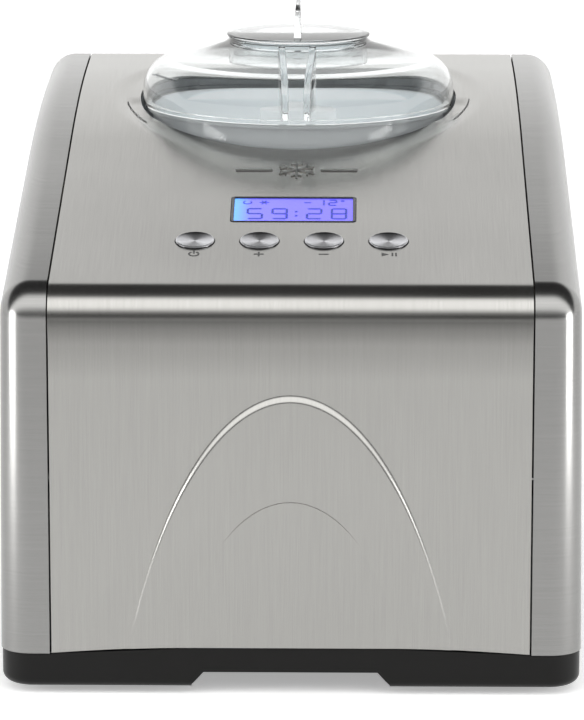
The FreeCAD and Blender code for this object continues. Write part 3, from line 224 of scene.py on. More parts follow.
def bevel_edges(piece, test, width, segments=3):
    """Rounds the edges whose two ends pass the test."""
    edit(piece, "EDGE")
    leave_edit()
    mesh = piece.data
    for edge in mesh.edges:
        a, b = (mesh.vertices[i].co for i in edge.vertices)
        edge.select = test(a, b)
    bpy.ops.object.mode_set(mode="EDIT")
    bpy.ops.mesh.bevel(offset=width, segments=segments, affect="EDGES")
    leave_edit()


def weld(piece):
    """Joins the vertices that meet and turns the normals outward."""
    edit_all(piece)
    bpy.ops.mesh.remove_doubles(threshold=WELD_GAP)
    bpy.ops.mesh.normals_make_consistent(inside=False)
    leave_edit()


def flip(piece):
    edit_all(piece)
    bpy.ops.mesh.flip_normals()
    leave_edit()


def smooth(piece, degrees=35):
    pick(piece)
    bpy.ops.object.shade_smooth_by_angle(angle=math.radians(degrees))
    return piece


def thicken(piece, thickness):
    """Gives a surface its wall, inward from the face that is seen."""
    pick(piece)
    wall = piece.modifiers.new("wall", "SOLIDIFY")
    wall.thickness = thickness
    wall.offset = -1.0
    wall.use_even_offset = True
    bpy.ops.object.modifier_apply(modifier=wall.name)


def soften(piece, width, segments=2, degrees=40):
    """Rounds every edge that is sharper than an angle."""
    pick(piece)
    edge = piece.modifiers.new("edge", "BEVEL")
    edge.width = width
    edge.segments = segments
    edge.limit_method = "ANGLE"
    edge.angle_limit = math.radians(degrees)
    bpy.ops.object.modifier_apply(modifier=edge.name)


def cut(piece, cutter):
    """Takes the cutter out of the piece and removes the cutter."""
    pick(piece)
    knife = piece.modifiers.new("cut", "BOOLEAN")
    knife.object = cutter
    knife.operation = "DIFFERENCE"
    knife.solver = "EXACT"
    bpy.ops.object.modifier_apply(modifier=knife.name)
    bpy.data.objects.remove(cutter)


def joined(name, parts):
    deselect()
    for part in parts:
        part.select_set(True)
    bpy.context.view_layer.objects.active = parts[0]
    bpy.ops.object.join()
    return named(name)


def copied(name, piece):
    twin = piece.copy()
    twin.data = piece.data.copy()
    twin.name = name
    bpy.context.scene.collection.objects.link(twin)
    return twin


def arc(centre_r, centre_z, radius, start, end, steps):
    """Points of an arc in the (radius, height) plane, angles in degrees."""
    points = []
    for i in range(steps + 1):
        t = math.radians(start + (end - start) * i / steps)
        points.append((centre_r + radius * math.cos(t), centre_z + radius * math.sin(t)))
    return points


def lathe(name, outline, centre=(0.0, 0.0), steps=96, sweep=360.0):
    """Turns a closed outline of (radius, height) points about an upright axis."""
    deselect()
    bpy.ops.mesh.primitive_plane_add(size=MM, location=(0, 0, 0))
    piece = named(name)
    bpy.ops.object.mode_set(mode="EDIT")
    bpy.ops.mesh.select_mode(type="VERT")
    bpy.ops.mesh.select_all(action="SELECT")
    bpy.ops.mesh.merge(type="CENTER")
    here = Vector((0, 0, 0))
    start = Vector((centre[0] + outline[0][0], centre[1], outline[0][1]))
    bpy.ops.transform.translate(value=start - here)
    here = start
    for r, z in outline[1:] + outline[:1]:
        spot = Vector((centre[0] + r, centre[1], z))
        bpy.ops.mesh.extrude_region_move(TRANSFORM_OT_translate={"value": spot - here})
        here = spot
    bpy.ops.mesh.select_all(action="SELECT")
    bpy.ops.mesh.remove_doubles(threshold=LATHE_GAP)
    bpy.ops.mesh.select_all(action="SELECT")
    bpy.ops.mesh.spin(
        steps=steps, angle=math.radians(sweep), center=(centre[0], centre[1], 0), axis=(0, 0, 1)
    )
    bpy.ops.mesh.select_all(action="SELECT")
    bpy.ops.mesh.remove_doubles(threshold=LATHE_GAP)
    bpy.ops.mesh.normals_make_consistent(inside=False)
    leave_edit()
    return piece


def merged_copy(name, node):
    """Copy of a CAD node with its loose triangles joined and its curves smooth."""
    piece = nodes[node].copy()
    piece.data = nodes[node].data.copy()
    piece.parent = None
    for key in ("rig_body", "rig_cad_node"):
        if key in piece:
            del piece[key]
    piece.name = name
    bpy.context.scene.collection.objects.link(piece)
    edit_all(piece)
    bpy.ops.mesh.remove_doubles(threshold=WELD_GAP)
    leave_edit()
    return smooth(piece, 30)


def finish(piece, body, slot, material, *stands_for):
    """Gives a piece its material and body, and hides the nodes it stands for; the slot is not used."""
    piece.data.materials.clear()
    piece.data.materials.append(material)
    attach(piece, body)
    if stands_for:
        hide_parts(*stands_for)
    return piece


# ---- material helpers ----

# Places of a colour mix node's colour sockets, which share their names with others.
MIX_COLOUR_A = 6
MIX_COLOUR_B = 7
MIX_COLOUR_OUT = 2

def new_material(name):
    material = bpy.data.materials.new(name)
    material.use_nodes = True
    tree = material.node_tree
    shader = tree.nodes["Principled BSDF"]
    return material, tree, shader


def put(tree, kind, **settings):
    node = tree.nodes.new(kind)
    for key, value in settings.items():
        setattr(node, key, value)
    return node


def axes(tree):
    """The three Object coordinates of a place, apart."""
    place = put(tree, "ShaderNodeTexCoord")
    split = put(tree, "ShaderNodeSeparateXYZ")
    tree.links.new(place.outputs["Object"], split.inputs["Vector"])
    return split.outputs


def noise(tree, stretch, detail=3.0, roughness=0.5):
    """Noise over Object coordinates, stretched by its own factor on each axis."""
    place = put(tree, "ShaderNodeTexCoord")
    mapping = put(tree, "ShaderNodeMapping")
    mapping.inputs["Scale"].default_value = stretch
    tree.links.new(place.outputs["Object"], mapping.inputs["Vector"])
    pattern = put(tree, "ShaderNodeTexNoise")
    pattern.inputs["Scale"].default_value = 1.0
    pattern.inputs["Detail"].default_value = detail
    pattern.inputs["Roughness"].default_value = roughness
    tree.links.new(mapping.outputs["Vector"], pattern.inputs["Vector"])
    return pattern.outputs["Fac"]


def spread(tree, value, low, high, start=0.3, end=0.7):
    """Maps a 0 to 1 pattern to a range of numbers."""
    node = put(tree, "ShaderNodeMapRange")
    node.inputs["From Min"].default_value = start
    node.inputs["From Max"].default_value = end
    node.inputs["To Min"].default_value = low
    node.inputs["To Max"].default_value = high
    tree.links.new(value, node.inputs["Value"])
    return node.outputs["Result"]


def two_tone(tree, value, first, second, start=0.3, end=0.7):
    ramp = put(tree, "ShaderNodeValToRGB")
    ramp.color_ramp.elements[0].position = start
    ramp.color_ramp.elements[1].position = end
    ramp.color_ramp.elements[0].color = (*first, 1)
    ramp.color_ramp.elements[1].color = (*second, 1)
    tree.links.new(value, ramp.inputs["Fac"])
    return ramp.outputs["Color"]


def many_tones(tree, value, stops):
    """Colour ramp through (position, colour) stops."""
    ramp = put(tree, "ShaderNodeValToRGB")
    elements = ramp.color_ramp.elements
    elements[0].position = stops[0][0]
    elements[1].position = stops[-1][0]
    for position, _ in stops[1:-1]:
        elements.new(position)
    for element, (_, colour) in zip(elements, stops):
        element.color = (*colour, 1)
    tree.links.new(value, ramp.inputs["Fac"])
    return ramp.outputs["Color"]


def multiply_colour(tree, shader, share, factor):
    """Multiplies the base colour by a colour or a colour socket, by a share of 0 to 1."""
    plain = shader.inputs["Base Color"].links[0].from_socket
    mix = put(tree, "ShaderNodeMix", data_type="RGBA", blend_type="MULTIPLY")
    tree.links.new(share, mix.inputs["Factor"])
    tree.links.new(plain, mix.inputs[MIX_COLOUR_A])
    if isinstance(factor, tuple):
        mix.inputs[MIX_COLOUR_B].default_value = (*factor, 1)
    else:
        tree.links.new(factor, mix.inputs[MIX_COLOUR_B])
    tree.links.new(mix.outputs[MIX_COLOUR_OUT], shader.inputs["Base Color"])


def relief(tree, shader, value, strength, depth):
    bump = put(tree, "ShaderNodeBump")
    bump.inputs["Strength"].default_value = strength
    bump.inputs["Distance"].default_value = depth
    tree.links.new(value, bump.inputs["Height"])
    tree.links.new(bump.outputs["Normal"], shader.inputs["Normal"])


def tone(colour, factor):
    return tuple(min(1.0, c * factor) for c in colour)


def grained_steel(name, stretch, colour=(0.365, 0.36, 0.345), rough=(0.2, 0.25)):
    """Steel sheet with straight brush lines along the axis that is stretched least."""
    material, tree, shader = new_material(name)
    lines = noise(tree, stretch, detail=3.0, roughness=0.7)
    clouds = noise(tree, (9, 9, 9), detail=2.0)
    tree.links.new(two_tone(tree, lines, tone(colour, 0.92), tone(colour, 1.05)), shader.inputs["Base Color"])
    tree.links.new(spread(tree, clouds, rough[0], rough[1]), shader.inputs["Roughness"])
    shader.inputs["Metallic"].default_value = 1.0
    relief(tree, shader, lines, 0.07, 0.04 * MM)
    return material


def plain_finish(name, colour, rough, metal=0.0, speckle=900.0, strength=0.1, depth=0.03 * MM, vary=0.06):
    """Moulded, cast or drawn finish: fine speckle relief and slow colour drift."""
    material, tree, shader = new_material(name)
    drift = noise(tree, (25, 25, 25), detail=3.0)
    fine = noise(tree, (speckle, speckle, speckle), detail=2.0)
    colours = two_tone(tree, drift, tone(colour, 1 - vary), tone(colour, 1 + vary))
    tree.links.new(colours, shader.inputs["Base Color"])
    tree.links.new(spread(tree, fine, rough[0], rough[1]), shader.inputs["Roughness"])
    shader.inputs["Metallic"].default_value = metal
    relief(tree, shader, fine, strength, depth)
    return material, tree, shader


def spun_steel(name, centre, colour=(0.5, 0.5, 0.52)):
    """Turned face: fine ring grooves round its own axis, with a two-lobed sheen painted into its colour."""
    material, tree, shader = new_material(name)
    place = put(tree, "ShaderNodeTexCoord")
    mapping = put(tree, "ShaderNodeMapping", vector_type="TEXTURE")
    mapping.inputs["Location"].default_value = centre
    mapping.inputs["Rotation"].default_value = (SLOPE, 0, 0)
    tree.links.new(place.outputs["Object"], mapping.inputs["Vector"])
    rings = put(tree, "ShaderNodeTexWave", wave_type="RINGS", rings_direction="Z")
    rings.inputs["Scale"].default_value = 1500.0
    rings.inputs["Distortion"].default_value = 0.6
    tree.links.new(mapping.outputs["Vector"], rings.inputs["Vector"])
    # Painted highlight: the colour is light in two lobes and dark between them by the angle round the key's
    # axis, standing in for spun steel's bow-tie reflection; the ring grain adds a little to it.
    split = put(tree, "ShaderNodeSeparateXYZ")
    tree.links.new(mapping.outputs["Vector"], split.inputs["Vector"])
    turn = put(tree, "ShaderNodeMath", operation="ARCTAN2")
    tree.links.new(split.outputs["Y"], turn.inputs[0])
    tree.links.new(split.outputs["X"], turn.inputs[1])
    twice = put(tree, "ShaderNodeMath", operation="MULTIPLY_ADD")
    tree.links.new(turn.outputs[0], twice.inputs[0])
    twice.inputs[1].default_value = 2.0
    twice.inputs[2].default_value = 0.15
    lobes = put(tree, "ShaderNodeMath", operation="COSINE")
    tree.links.new(twice.outputs[0], lobes.inputs[0])
    both = put(tree, "ShaderNodeMath", operation="MULTIPLY_ADD")
    tree.links.new(rings.outputs["Fac"], both.inputs[0])
    both.inputs[1].default_value = 0.35
    tree.links.new(lobes.outputs[0], both.inputs[2])
    sheen = spread(tree, both.outputs[0], 0, 1, -1.0, 1.2)
    colours = two_tone(tree, sheen, tone(colour, 0.3), tone(colour, 1.5), 0.15, 0.85)
    tree.links.new(colours, shader.inputs["Base Color"])
    tree.links.new(spread(tree, rings.outputs["Fac"], 0.2, 0.32), shader.inputs["Roughness"])
    tangent = put(tree, "ShaderNodeTangent", direction_type="RADIAL", axis="Z")
    tree.links.new(tangent.outputs["Tangent"], shader.inputs["Tangent"])
    shader.inputs["Metallic"].default_value = 1.0
    shader.inputs["Anisotropic"].default_value = 0.85
    relief(tree, shader, rings.outputs["Fac"], 0.15, 0.02 * MM)
    return material


def painted_shade_outside(tree, shader, radius, factor):
    """Paints shade on a turned piece: darkens its colour beyond a radius about its upright axis."""
    place = put(tree, "ShaderNodeTexCoord")
    mapping = put(tree, "ShaderNodeMapping")
    mapping.inputs["Location"].default_value = (0, -AXIS_Y, 0)
    mapping.inputs["Scale"].default_value = (1, 1, 0)
    tree.links.new(place.outputs["Object"], mapping.inputs["Vector"])
    length = put(tree, "ShaderNodeVectorMath", operation="LENGTH")
    tree.links.new(mapping.outputs["Vector"], length.inputs[0])
    share = spread(tree, length.outputs["Value"], 0.0, 1.0, radius, radius + 0.3 * MM)
    multiply_colour(tree, shader, share, (factor, factor, factor))


def painted_glow(shader, colour, strength):
    """Painted light: a faint glow standing in for the light that a bright enclosed piece gathers from the
    walls round it.
    """
    shader.inputs["Emission Color"].default_value = (*colour, 1)
    shader.inputs["Emission Strength"].default_value = strength


def clear_plastic(name, tint=(0.975, 0.99, 0.992)):
    material, tree, shader = new_material(name)
    haze = noise(tree, (40, 40, 40), detail=2.0)
    tree.links.new(two_tone(tree, haze, tone(tint, 0.985), tint), shader.inputs["Base Color"])
    tree.links.new(spread(tree, haze, 0.015, 0.05), shader.inputs["Roughness"])
    shader.inputs["Transmission Weight"].default_value = 1.0
    shader.inputs["IOR"].default_value = 1.4
    relief(tree, shader, haze, 0.04, 0.4 * MM)
    return material


def milky_plastic(name):
    material, tree, shader = plain_finish(name, (0.82, 0.84, 0.84), (0.3, 0.42), speckle=300.0)
    shader.inputs["Transmission Weight"].default_value = 0.35
    shader.inputs["Subsurface Weight"].default_value = 0.3
    shader.inputs["Subsurface Radius"].default_value = (0.01, 0.01, 0.01)
    # Painted light: the paddle glows faintly.
    painted_glow(shader, (0.95, 0.98, 1.0), 0.16)
    return material


def shade_under_nose(tree, shader):
    """Darkens the sheet softly in the cove below the nose."""
    place = axes(tree)
    height = spread(tree, place["Z"], 0.0, 1.0, *COVE_SHADE_Z)
    levels = [(0.0, 1.0), (0.4, 0.78), (0.62, 0.52), (0.73, 0.34), (0.8, 0.5), (0.87, 1.0)]
    shade = many_tones(tree, height, [(at, (level,) * 3) for at, level in levels])
    in_front = spread(tree, place["Y"], 1.0, 0.0, *COVE_SHADE_Y)
    multiply_colour(tree, shader, in_front, shade)


# ---- materials ----

COVE_SHADE_Z = (160 * MM, 200 * MM)
COVE_SHADE_Y = (-184.5 * MM, -180 * MM)
TOP_GRAIN = (4200, 30, 30)
SIDE_GRAIN = (30, 30, 4200)
wrap_steel = grained_steel("wrap_steel", TOP_GRAIN)
shade_under_nose(wrap_steel.node_tree, wrap_steel.node_tree.nodes["Principled BSDF"])
side_steel = grained_steel("side_steel", SIDE_GRAIN, colour=(0.27, 0.268, 0.262))
motif_steel = grained_steel("motif_steel", TOP_GRAIN, colour=(0.3, 0.295, 0.285), rough=(0.25, 0.32))
zinc_steel = plain_finish("zinc_steel", (0.5, 0.51, 0.52), (0.35, 0.5), metal=1.0)[0]
base_plastic, base_tree, base_shader = plain_finish(
    "base_plastic", (0.007, 0.0068, 0.0065), (0.3, 0.38), speckle=1600.0, strength=0.15
)
base_shader.inputs["Specular IOR Level"].default_value = 0.16
rear_plastic = plain_finish("rear_plastic", (0.03, 0.03, 0.03), (0.4, 0.52), speckle=1400.0, strength=0.25)[0]
liner_plastic = plain_finish("liner_plastic", (0.4, 0.41, 0.42), (0.35, 0.45), speckle=1200.0)[0]
gear_plastic = plain_finish("gear_plastic", (0.78, 0.77, 0.72), (0.35, 0.45))[0]
black_rubber = plain_finish("black_rubber", (0.02, 0.02, 0.02), (0.6, 0.75), strength=0.3)[0]
bowl_metal, bowl_tree, bowl_shader = plain_finish(
    "bowl_metal", (0.89, 0.92, 0.93), (0.6, 0.7), metal=0.1, speckle=500.0, strength=0.12, vary=0.03
)
# Painted light: the bowl glows faintly.
painted_glow(bowl_shader, (0.93, 0.97, 1.0), 0.1)
# Painted shade: the bowl's outer wall and rolled rim take half their colour.
painted_shade_outside(bowl_tree, bowl_shader, BOWL_R - 0.7 * MM, 0.5)
pot_metal = plain_finish("pot_metal", (0.55, 0.56, 0.57), (0.4, 0.5), metal=1.0)[0]
copper = plain_finish("copper", (0.68, 0.33, 0.2), (0.22, 0.36), metal=1.0, vary=0.12)[0]
bronze = plain_finish("bronze", (0.55, 0.39, 0.18), (0.35, 0.5), metal=1.0)[0]
foam = plain_finish("foam", (0.82, 0.79, 0.68), (0.8, 0.95), speckle=450.0, strength=0.8, depth=0.6 * MM)[0]
enamel = plain_finish("enamel", (0.012, 0.012, 0.014), (0.12, 0.2), strength=0.04)[0]
circuit_green = plain_finish("circuit_green", (0.03, 0.16, 0.07), (0.3, 0.4), speckle=200.0)[0]
# Dark ink for the printed key marks, also used as painted shadow along the finger recesses.
print_and_shadow_ink = plain_finish("print_and_shadow_ink", (0.09, 0.09, 0.09), (0.5, 0.6))[0]
digit_ink = plain_finish("digit_ink", (0.03, 0.06, 0.62), (0.3, 0.4))[0]
bezel_plastic = plain_finish("bezel_plastic", (0.015, 0.015, 0.03), (0.15, 0.25))[0]
lid_plastic = clear_plastic("lid_plastic")
mark_plastic = clear_plastic("mark_plastic", (0.55, 0.57, 0.58))
paddle_plastic = milky_plastic("paddle_plastic")


def lit_screen():
    """Backlight: cyan at its left edge, blue-violet over the rest."""
    material, tree, shader = new_material("lit_screen")
    low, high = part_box("display_window")
    across = spread(tree, axes(tree)["X"], 0.0, 1.0, low.x, high.x)
    stops = [(0.0, (0.08, 0.42, 0.95)), (0.16, (0.13, 0.12, 0.95)), (1.0, (0.115, 0.09, 0.82))]
    light = many_tones(tree, across, stops)
    tree.links.new(light, shader.inputs["Base Color"])
    tree.links.new(light, shader.inputs["Emission Color"])
    glow = noise(tree, (60, 60, 60), detail=1.0)
    tree.links.new(spread(tree, glow, 0.1, 0.16), shader.inputs["Roughness"])
    shader.inputs["Emission Strength"].default_value = 0.75
    return material


# ---- cabinet: the wrapped sheet ----

ARCH_APEX = 152.5 * MM
ARCH_WIDTH = 69.0 * MM
ARCH_CURL = 2.1
ARCH_FOOT = 122.0 * MM
ARCH_BAND = 3.8 * MM
ARCH_PROUD = 1.6 * MM
INNER_APEX = 99.5 * MM
INNER_WIDTH = 58.0 * MM
INNER_CURL = 3.4
INNER_FOOT = 60.0 * MM
INNER_BAND = 1.2 * MM
INNER_SINK = 1.0 * MM
SEAM_EASE = 0.3 * MM
SHEET_COLUMNS = 118
TOP_ROWS = 165
DISH_R = 101.0 * MM
DISH_SOFT = 10.0 * MM
DISH_DEPTH = 1.3 * MM
RECESS_R = 92.6 * MM
RECESS_DEPTH = 1.0 * MM
RECESS_STEP = 1.6 * MM
RECESS_TURN = (2, 32)
RECESS_FADE = 8


def ease(t):
    """Smooth step from 0 to 1."""
    t = max(0.0, min(1.0, t))
    return t * t * (3 - 2 * t)


def sheet_bottom(x):
    """Lower edge of the front: raised between its two sides."""
    rise = (PANEL_HALF - abs(x)) / (PANEL_HALF - RISE_HALF)
    return SHEET_BOTTOM + SHEET_RISE * math.sin(math.pi / 2 * max(0.0, min(1.0, rise)))


def arch_drop(x, width, curl):
    """Fall of an arch below its apex: x * x = width * drop * (1 - curl * drop)."""
    inside = max(0.0, 1 - 4 * curl * x * x / width)
    return (1 - math.sqrt(inside)) / (2 * curl)


def band_height(x, width, curl, band):
    """Upright extent of a band that keeps its width square to the curve."""
    drop = arch_drop(x, width, curl)
    steep = 2 * abs(x) / (width * max(0.25, 1 - 2 * curl * drop))
    return band * math.sqrt(1 + steep * steep)


def pressed_depth(x, z):
    """How far the front face stands proud at a place."""
    top = ARCH_APEX - arch_drop(x, ARCH_WIDTH, ARCH_CURL)
    left = max(0.0, min(1.0, (ARCH_APEX - z) / ARCH_FOOT))
    fade = 1 - 0.6 * ease(left)
    span = band_height(x, ARCH_WIDTH, ARCH_CURL, ARCH_BAND * (1 - 0.65 * left))
    proud = ARCH_PROUD * fade * ease((top - z) / span)
    inner_top = INNER_APEX - arch_drop(x, INNER_WIDTH, INNER_CURL)
    inner_left = (INNER_APEX - z) / INNER_FOOT
    span = band_height(x, INNER_WIDTH, INNER_CURL, INNER_BAND)
    sink = INNER_SINK * (1 - ease(inner_left)) * ease((inner_top - z) / span)
    return proud - sink


def rows_between(a, b, count):
    """Even heights from a up to, but without, b."""
    return [a + (b - a) * i / count for i in range(count)]


def front_rows(x, cove_z):
    """Heights of the mesh rows up the front face, following both arches."""
    low = sheet_bottom(x)
    inner = max(INNER_APEX - arch_drop(x, INNER_WIDTH, INNER_CURL), low + 2.5 * MM)
    inner_low = max(inner - band_height(x, INNER_WIDTH, INNER_CURL, INNER_BAND) * 1.2, low + 1.0 * MM)
    outer = max(ARCH_APEX - arch_drop(x, ARCH_WIDTH, ARCH_CURL), low + 6 * MM)
    outer_low = max(outer - band_height(x, ARCH_WIDTH, ARCH_CURL, ARCH_BAND) * 1.15, inner + 1.5 * MM)
    rows = rows_between(low, inner_low, 8)
    rows += rows_between(inner_low, inner + 0.3 * MM, 6)
    rows += rows_between(inner + 0.3 * MM, outer_low, 14)
    rows += rows_between(outer_low, outer + 0.4 * MM, 10)
    rows += rows_between(outer + 0.4 * MM, cove_z, 16)
    return rows


def dish_depth(x, y):
    """Soft pressed ring round the opening, with a finger recess on each side (turns in degrees)."""
    away = math.hypot(x, y - AXIS_Y)
    front = ease((AXIS_Y - 45 * MM - y) / (35 * MM))
    sunk = DISH_DEPTH * (1 - 0.75 * front) * ease((DISH_R - away) / DISH_SOFT)
    if away < RECESS_R + 4 * MM:
        turn = math.degrees(math.atan2(AXIS_Y - y, abs(x)))
        share = ease((turn - RECESS_TURN[0]) / RECESS_FADE) * ease((RECESS_TURN[1] - turn) / RECESS_FADE)
        sunk += RECESS_DEPTH * share * ease((RECESS_R - away) / RECESS_STEP)
    return sunk


def nose_and_top():
    """Profile from the cove to the rear lip, as (y, z) points."""
    nose_y = NOSE_FRONT + NOSE_R
    nose_z = KNEE_Z - (NOSE_R - nose_y * math.sin(SLOPE)) / math.cos(SLOPE)
    cove_y = FRONT_FACE - COVE_R
    cove_z = nose_z - math.sqrt((NOSE_R + COVE_R) ** 2 - (nose_y - cove_y) ** 2)
    swing = math.degrees(math.atan2(nose_z - cove_z, nose_y - cove_y))
    slope_deg = math.degrees(SLOPE)
    points = arc(cove_y, cove_z, COVE_R, 0, swing, 8)
    points += arc(nose_y, nose_z, NOSE_R, 180 + swing, 90 + slope_deg, 26)[1:]
    y0 = points[-1][0]
    roll_y = REAR_FACE - CORNER_R
    roll_z = top_z(roll_y) - CORNER_R / math.cos(REAR_SLOPE)
    roll_start = roll_y - CORNER_R * math.sin(REAR_SLOPE)
    for i in range(1, TOP_ROWS):
        y = y0 + (roll_start - y0) * i / TOP_ROWS
        points.append((y, top_z(y)))
    points += arc(roll_y, roll_z, CORNER_R, 90 + math.degrees(REAR_SLOPE), 0, 14)
    points.append((REAR_FACE, roll_z - REAR_LIP / 2))
    points.append((REAR_FACE, roll_z - REAR_LIP))
    return points, cove_z


def wrapped_sheet():
    """One sheet from the lower front edge over the nose and the top to the rear lip."""
    profile, cove_z = nose_and_top()
    front_count = len(front_rows(0.0, cove_z))
    rows = front_count + len(profile)
    deselect()
    bpy.ops.mesh.primitive_grid_add(x_subdivisions=SHEET_COLUMNS, y_subdivisions=rows - 1, size=1)
    piece = named("wrapped_sheet")
    for vertex in piece.data.vertices:
        column = round((vertex.co.x + 0.5) * SHEET_COLUMNS)
        row = round((vertex.co.y + 0.5) * (rows - 1))
        x = (2 * column / SHEET_COLUMNS - 1) * (PANEL_HALF - SEAM_EASE)
        if row < front_count:
            z = front_rows(x, cove_z)[row]
            vertex.co = (x, FRONT_FACE - pressed_depth(x, z), z)
            continue
        y, z = profile[row - front_count]
        vertex.co = (x, y, z - dish_depth(x, y))
    weld(piece)
    if piece.data.polygons[0].normal.y > 0:
        flip(piece)
    thicken(piece, SHEET)
    cut(piece, upright_drum("opening_cutter", OPENING_R, (0, AXIS_Y), 0.2, 0.32, 128))
    for i in range(4):
        cut(piece, slope_drum("key_cutter", KEY_HOLE_R, key_x(i), KEY_Y, 8 * MM))
    low = Vector((-DISPLAY_W / 2 - 0.3 * MM, -DISPLAY_H / 2 - 0.3 * MM, -8 * MM))
    window = block("window_cutter", low, -low)
    bevel_edges(window, lambda a, b: abs(a.z - b.z) > MM, 2.0 * MM, 4)
    cut(piece, on_slope(window, 0.0, DISPLAY_Y))
    smooth(piece, 28)
    return finish(piece, "root", "brushed_sheet", wrap_steel, "top_front_panel")


def upright_drum(name, radius, centre, z0, z1, sides):
    deselect()
    bpy.ops.mesh.primitive_cylinder_add(
        vertices=sides, radius=radius, depth=z1 - z0, location=(centre[0], centre[1], (z0 + z1) / 2)
    )
    piece = named(name)
    return settle(piece, piece.location.copy())


def on_slope(piece, x, y, height=0.0):
    """Moves a piece drawn about the origin on to the front slope."""
    out = Vector((0, -math.sin(SLOPE), math.cos(SLOPE)))
    return settle(piece, Vector((x, y, top_z(y))) + out * height, (SLOPE, 0, 0))


def slope_drum(name, radius, x, y, depth):
    deselect()
    bpy.ops.mesh.primitive_cylinder_add(vertices=72, radius=radius, depth=2 * depth)
    return on_slope(named(name), x, y)


def recess_lines():
    """Painted shadow: a thin dark strip along the outer step of each finger recess, where the step's shadow
    falls.
    """
    parts = []
    for side in (-1, 1):
        inner = RECESS_R - 0.35 * MM
        outer = RECESS_R + 0.1 * MM
        outline = [(inner, 0), (outer, 0), (outer, 0.2 * MM), (inner, 0.2 * MM)]
        line = lathe("recess_line", outline, steps=40, sweep=22.0)
        settle(line, (0, 0, 0), (0, 0, math.radians(-4 if side > 0 else -150)))
        for vertex in line.data.vertices:
            x = vertex.co.x
            y = vertex.co.y + AXIS_Y
            vertex.co = (x, y, vertex.co.z + top_z(y) - dish_depth(x, y) + 0.1 * MM)
        parts.append(line)
    piece = joined("recess_lines", parts)
    # the strip takes the dark ink as painted shadow
    finish(piece, "root", "dark_plastic", print_and_shadow_ink)


# ---- cabinet: side shells ----

NEAR = 0.1 * MM
VENT_COUNT = 8
VENT_LOW = 52 * MM
VENT_PITCH = 9 * MM
VENT_GAP = 3.6 * MM
VENT_FRONT = -146 * MM
VENT_REAR = -66 * MM

def side_shell():
    """Pressed shell of the right side, with rounded outer edges and vents, and its mirror."""
    low = (COVER_INNER, FRONT_FACE, COVER_BOTTOM)
    high = (COVER_OUTER, REAR_FACE, 0.2)
    piece = block("right_side_shell", low, high)
    edit(piece)
    breaks = [0.0] + [CROWN_END_Y * i / 12 for i in range(1, 13)]
    for y in breaks:
        bpy.ops.mesh.select_all(action="SELECT")
        bpy.ops.mesh.bisect(plane_co=(0, y, 0), plane_no=(0, 1, 0))
    leave_edit()
    for vertex in piece.data.vertices:
        if vertex.co.z > 0.1:
            vertex.co.z = top_z(vertex.co.y)
    for face_y, slope in ((FRONT_FACE, -SLOPE), (REAR_FACE, REAR_SLOPE)):
        corner_z = top_z(face_y)

        def on_corner(a, b):
            return all(abs(v.y - face_y) < NEAR and abs(v.z - corner_z) < NEAR for v in (a, b))

        bevel_edges(piece, on_corner, CORNER_R * math.tan((math.pi / 2 + slope) / 2), 12)

    def on_outer_rim(a, b):
        outside = min(a.x, b.x) > COVER_OUTER - NEAR
        across_face = 3 * MM < abs(a.z - b.z) and abs(a.y - b.y) < NEAR
        inside_face = FRONT_FACE + MM < a.y < REAR_FACE - MM
        foot = max(a.z, b.z) < COVER_BOTTOM + NEAR
        return outside and not foot and not (across_face and inside_face)

    bevel_edges(piece, on_outer_rim, COVER_EDGE_R, 12)
    edit_faces(piece, lambda c, n: n.x < -0.9 or n.z < -0.9)
    bpy.ops.mesh.delete(type="FACE")
    leave_edit()
    width = COVER_OUTER - COVER_INNER
    for vertex in piece.data.vertices:
        share = (vertex.co.x - COVER_INNER) / width
        vertex.co.x -= share * (vertex.co.z - COVER_BOTTOM) * math.tan(SIDE_LEAN)
    thicken(piece, SHEET)
    slots = []
    for i in range(VENT_COUNT):
        z = VENT_LOW + VENT_PITCH * i
        slot = block("vent_cutter", (128 * MM, VENT_FRONT, z), (160 * MM, VENT_REAR, z + VENT_GAP))
        bevel_edges(slot, lambda a, b: abs(a.x - b.x) > MM, 1.7 * MM, 4)
        slots.append(slot)
    cut(piece, joined("vent_cutters", slots))
    smooth(piece, 30)
    twin = copied("left_side_shell", piece)
    twin.data.transform(Matrix.Scale(-1, 4, (1, 0, 0)))
    flip(twin)
    finish(piece, "root", "brushed_sheet", side_steel, "right_side_cover")
    finish(twin, "root", "brushed_sheet", side_steel, "left_side_cover")


# ---- controls ----

KEY_HOLE_R = 10.1 * MM
KEY_R = 9.6 * MM
KEY_Y = -128.0 * MM
KEY_PITCH = 32.1 * MM
KEY_SHIFT = -0.3 * MM
KEY_PROUD = 1.0 * MM
KEY_DISH_R = 58 * MM
KEY_DISH_EDGE = 8.7 * MM
KEY_DISH_SINK = 0.8 * MM
DISPLAY_Y = -89.5 * MM
DISPLAY_W = 63.0 * MM
DISPLAY_H = 32.0 * MM


def key_x(index):
    return (index - 1.5) * KEY_PITCH + KEY_SHIFT


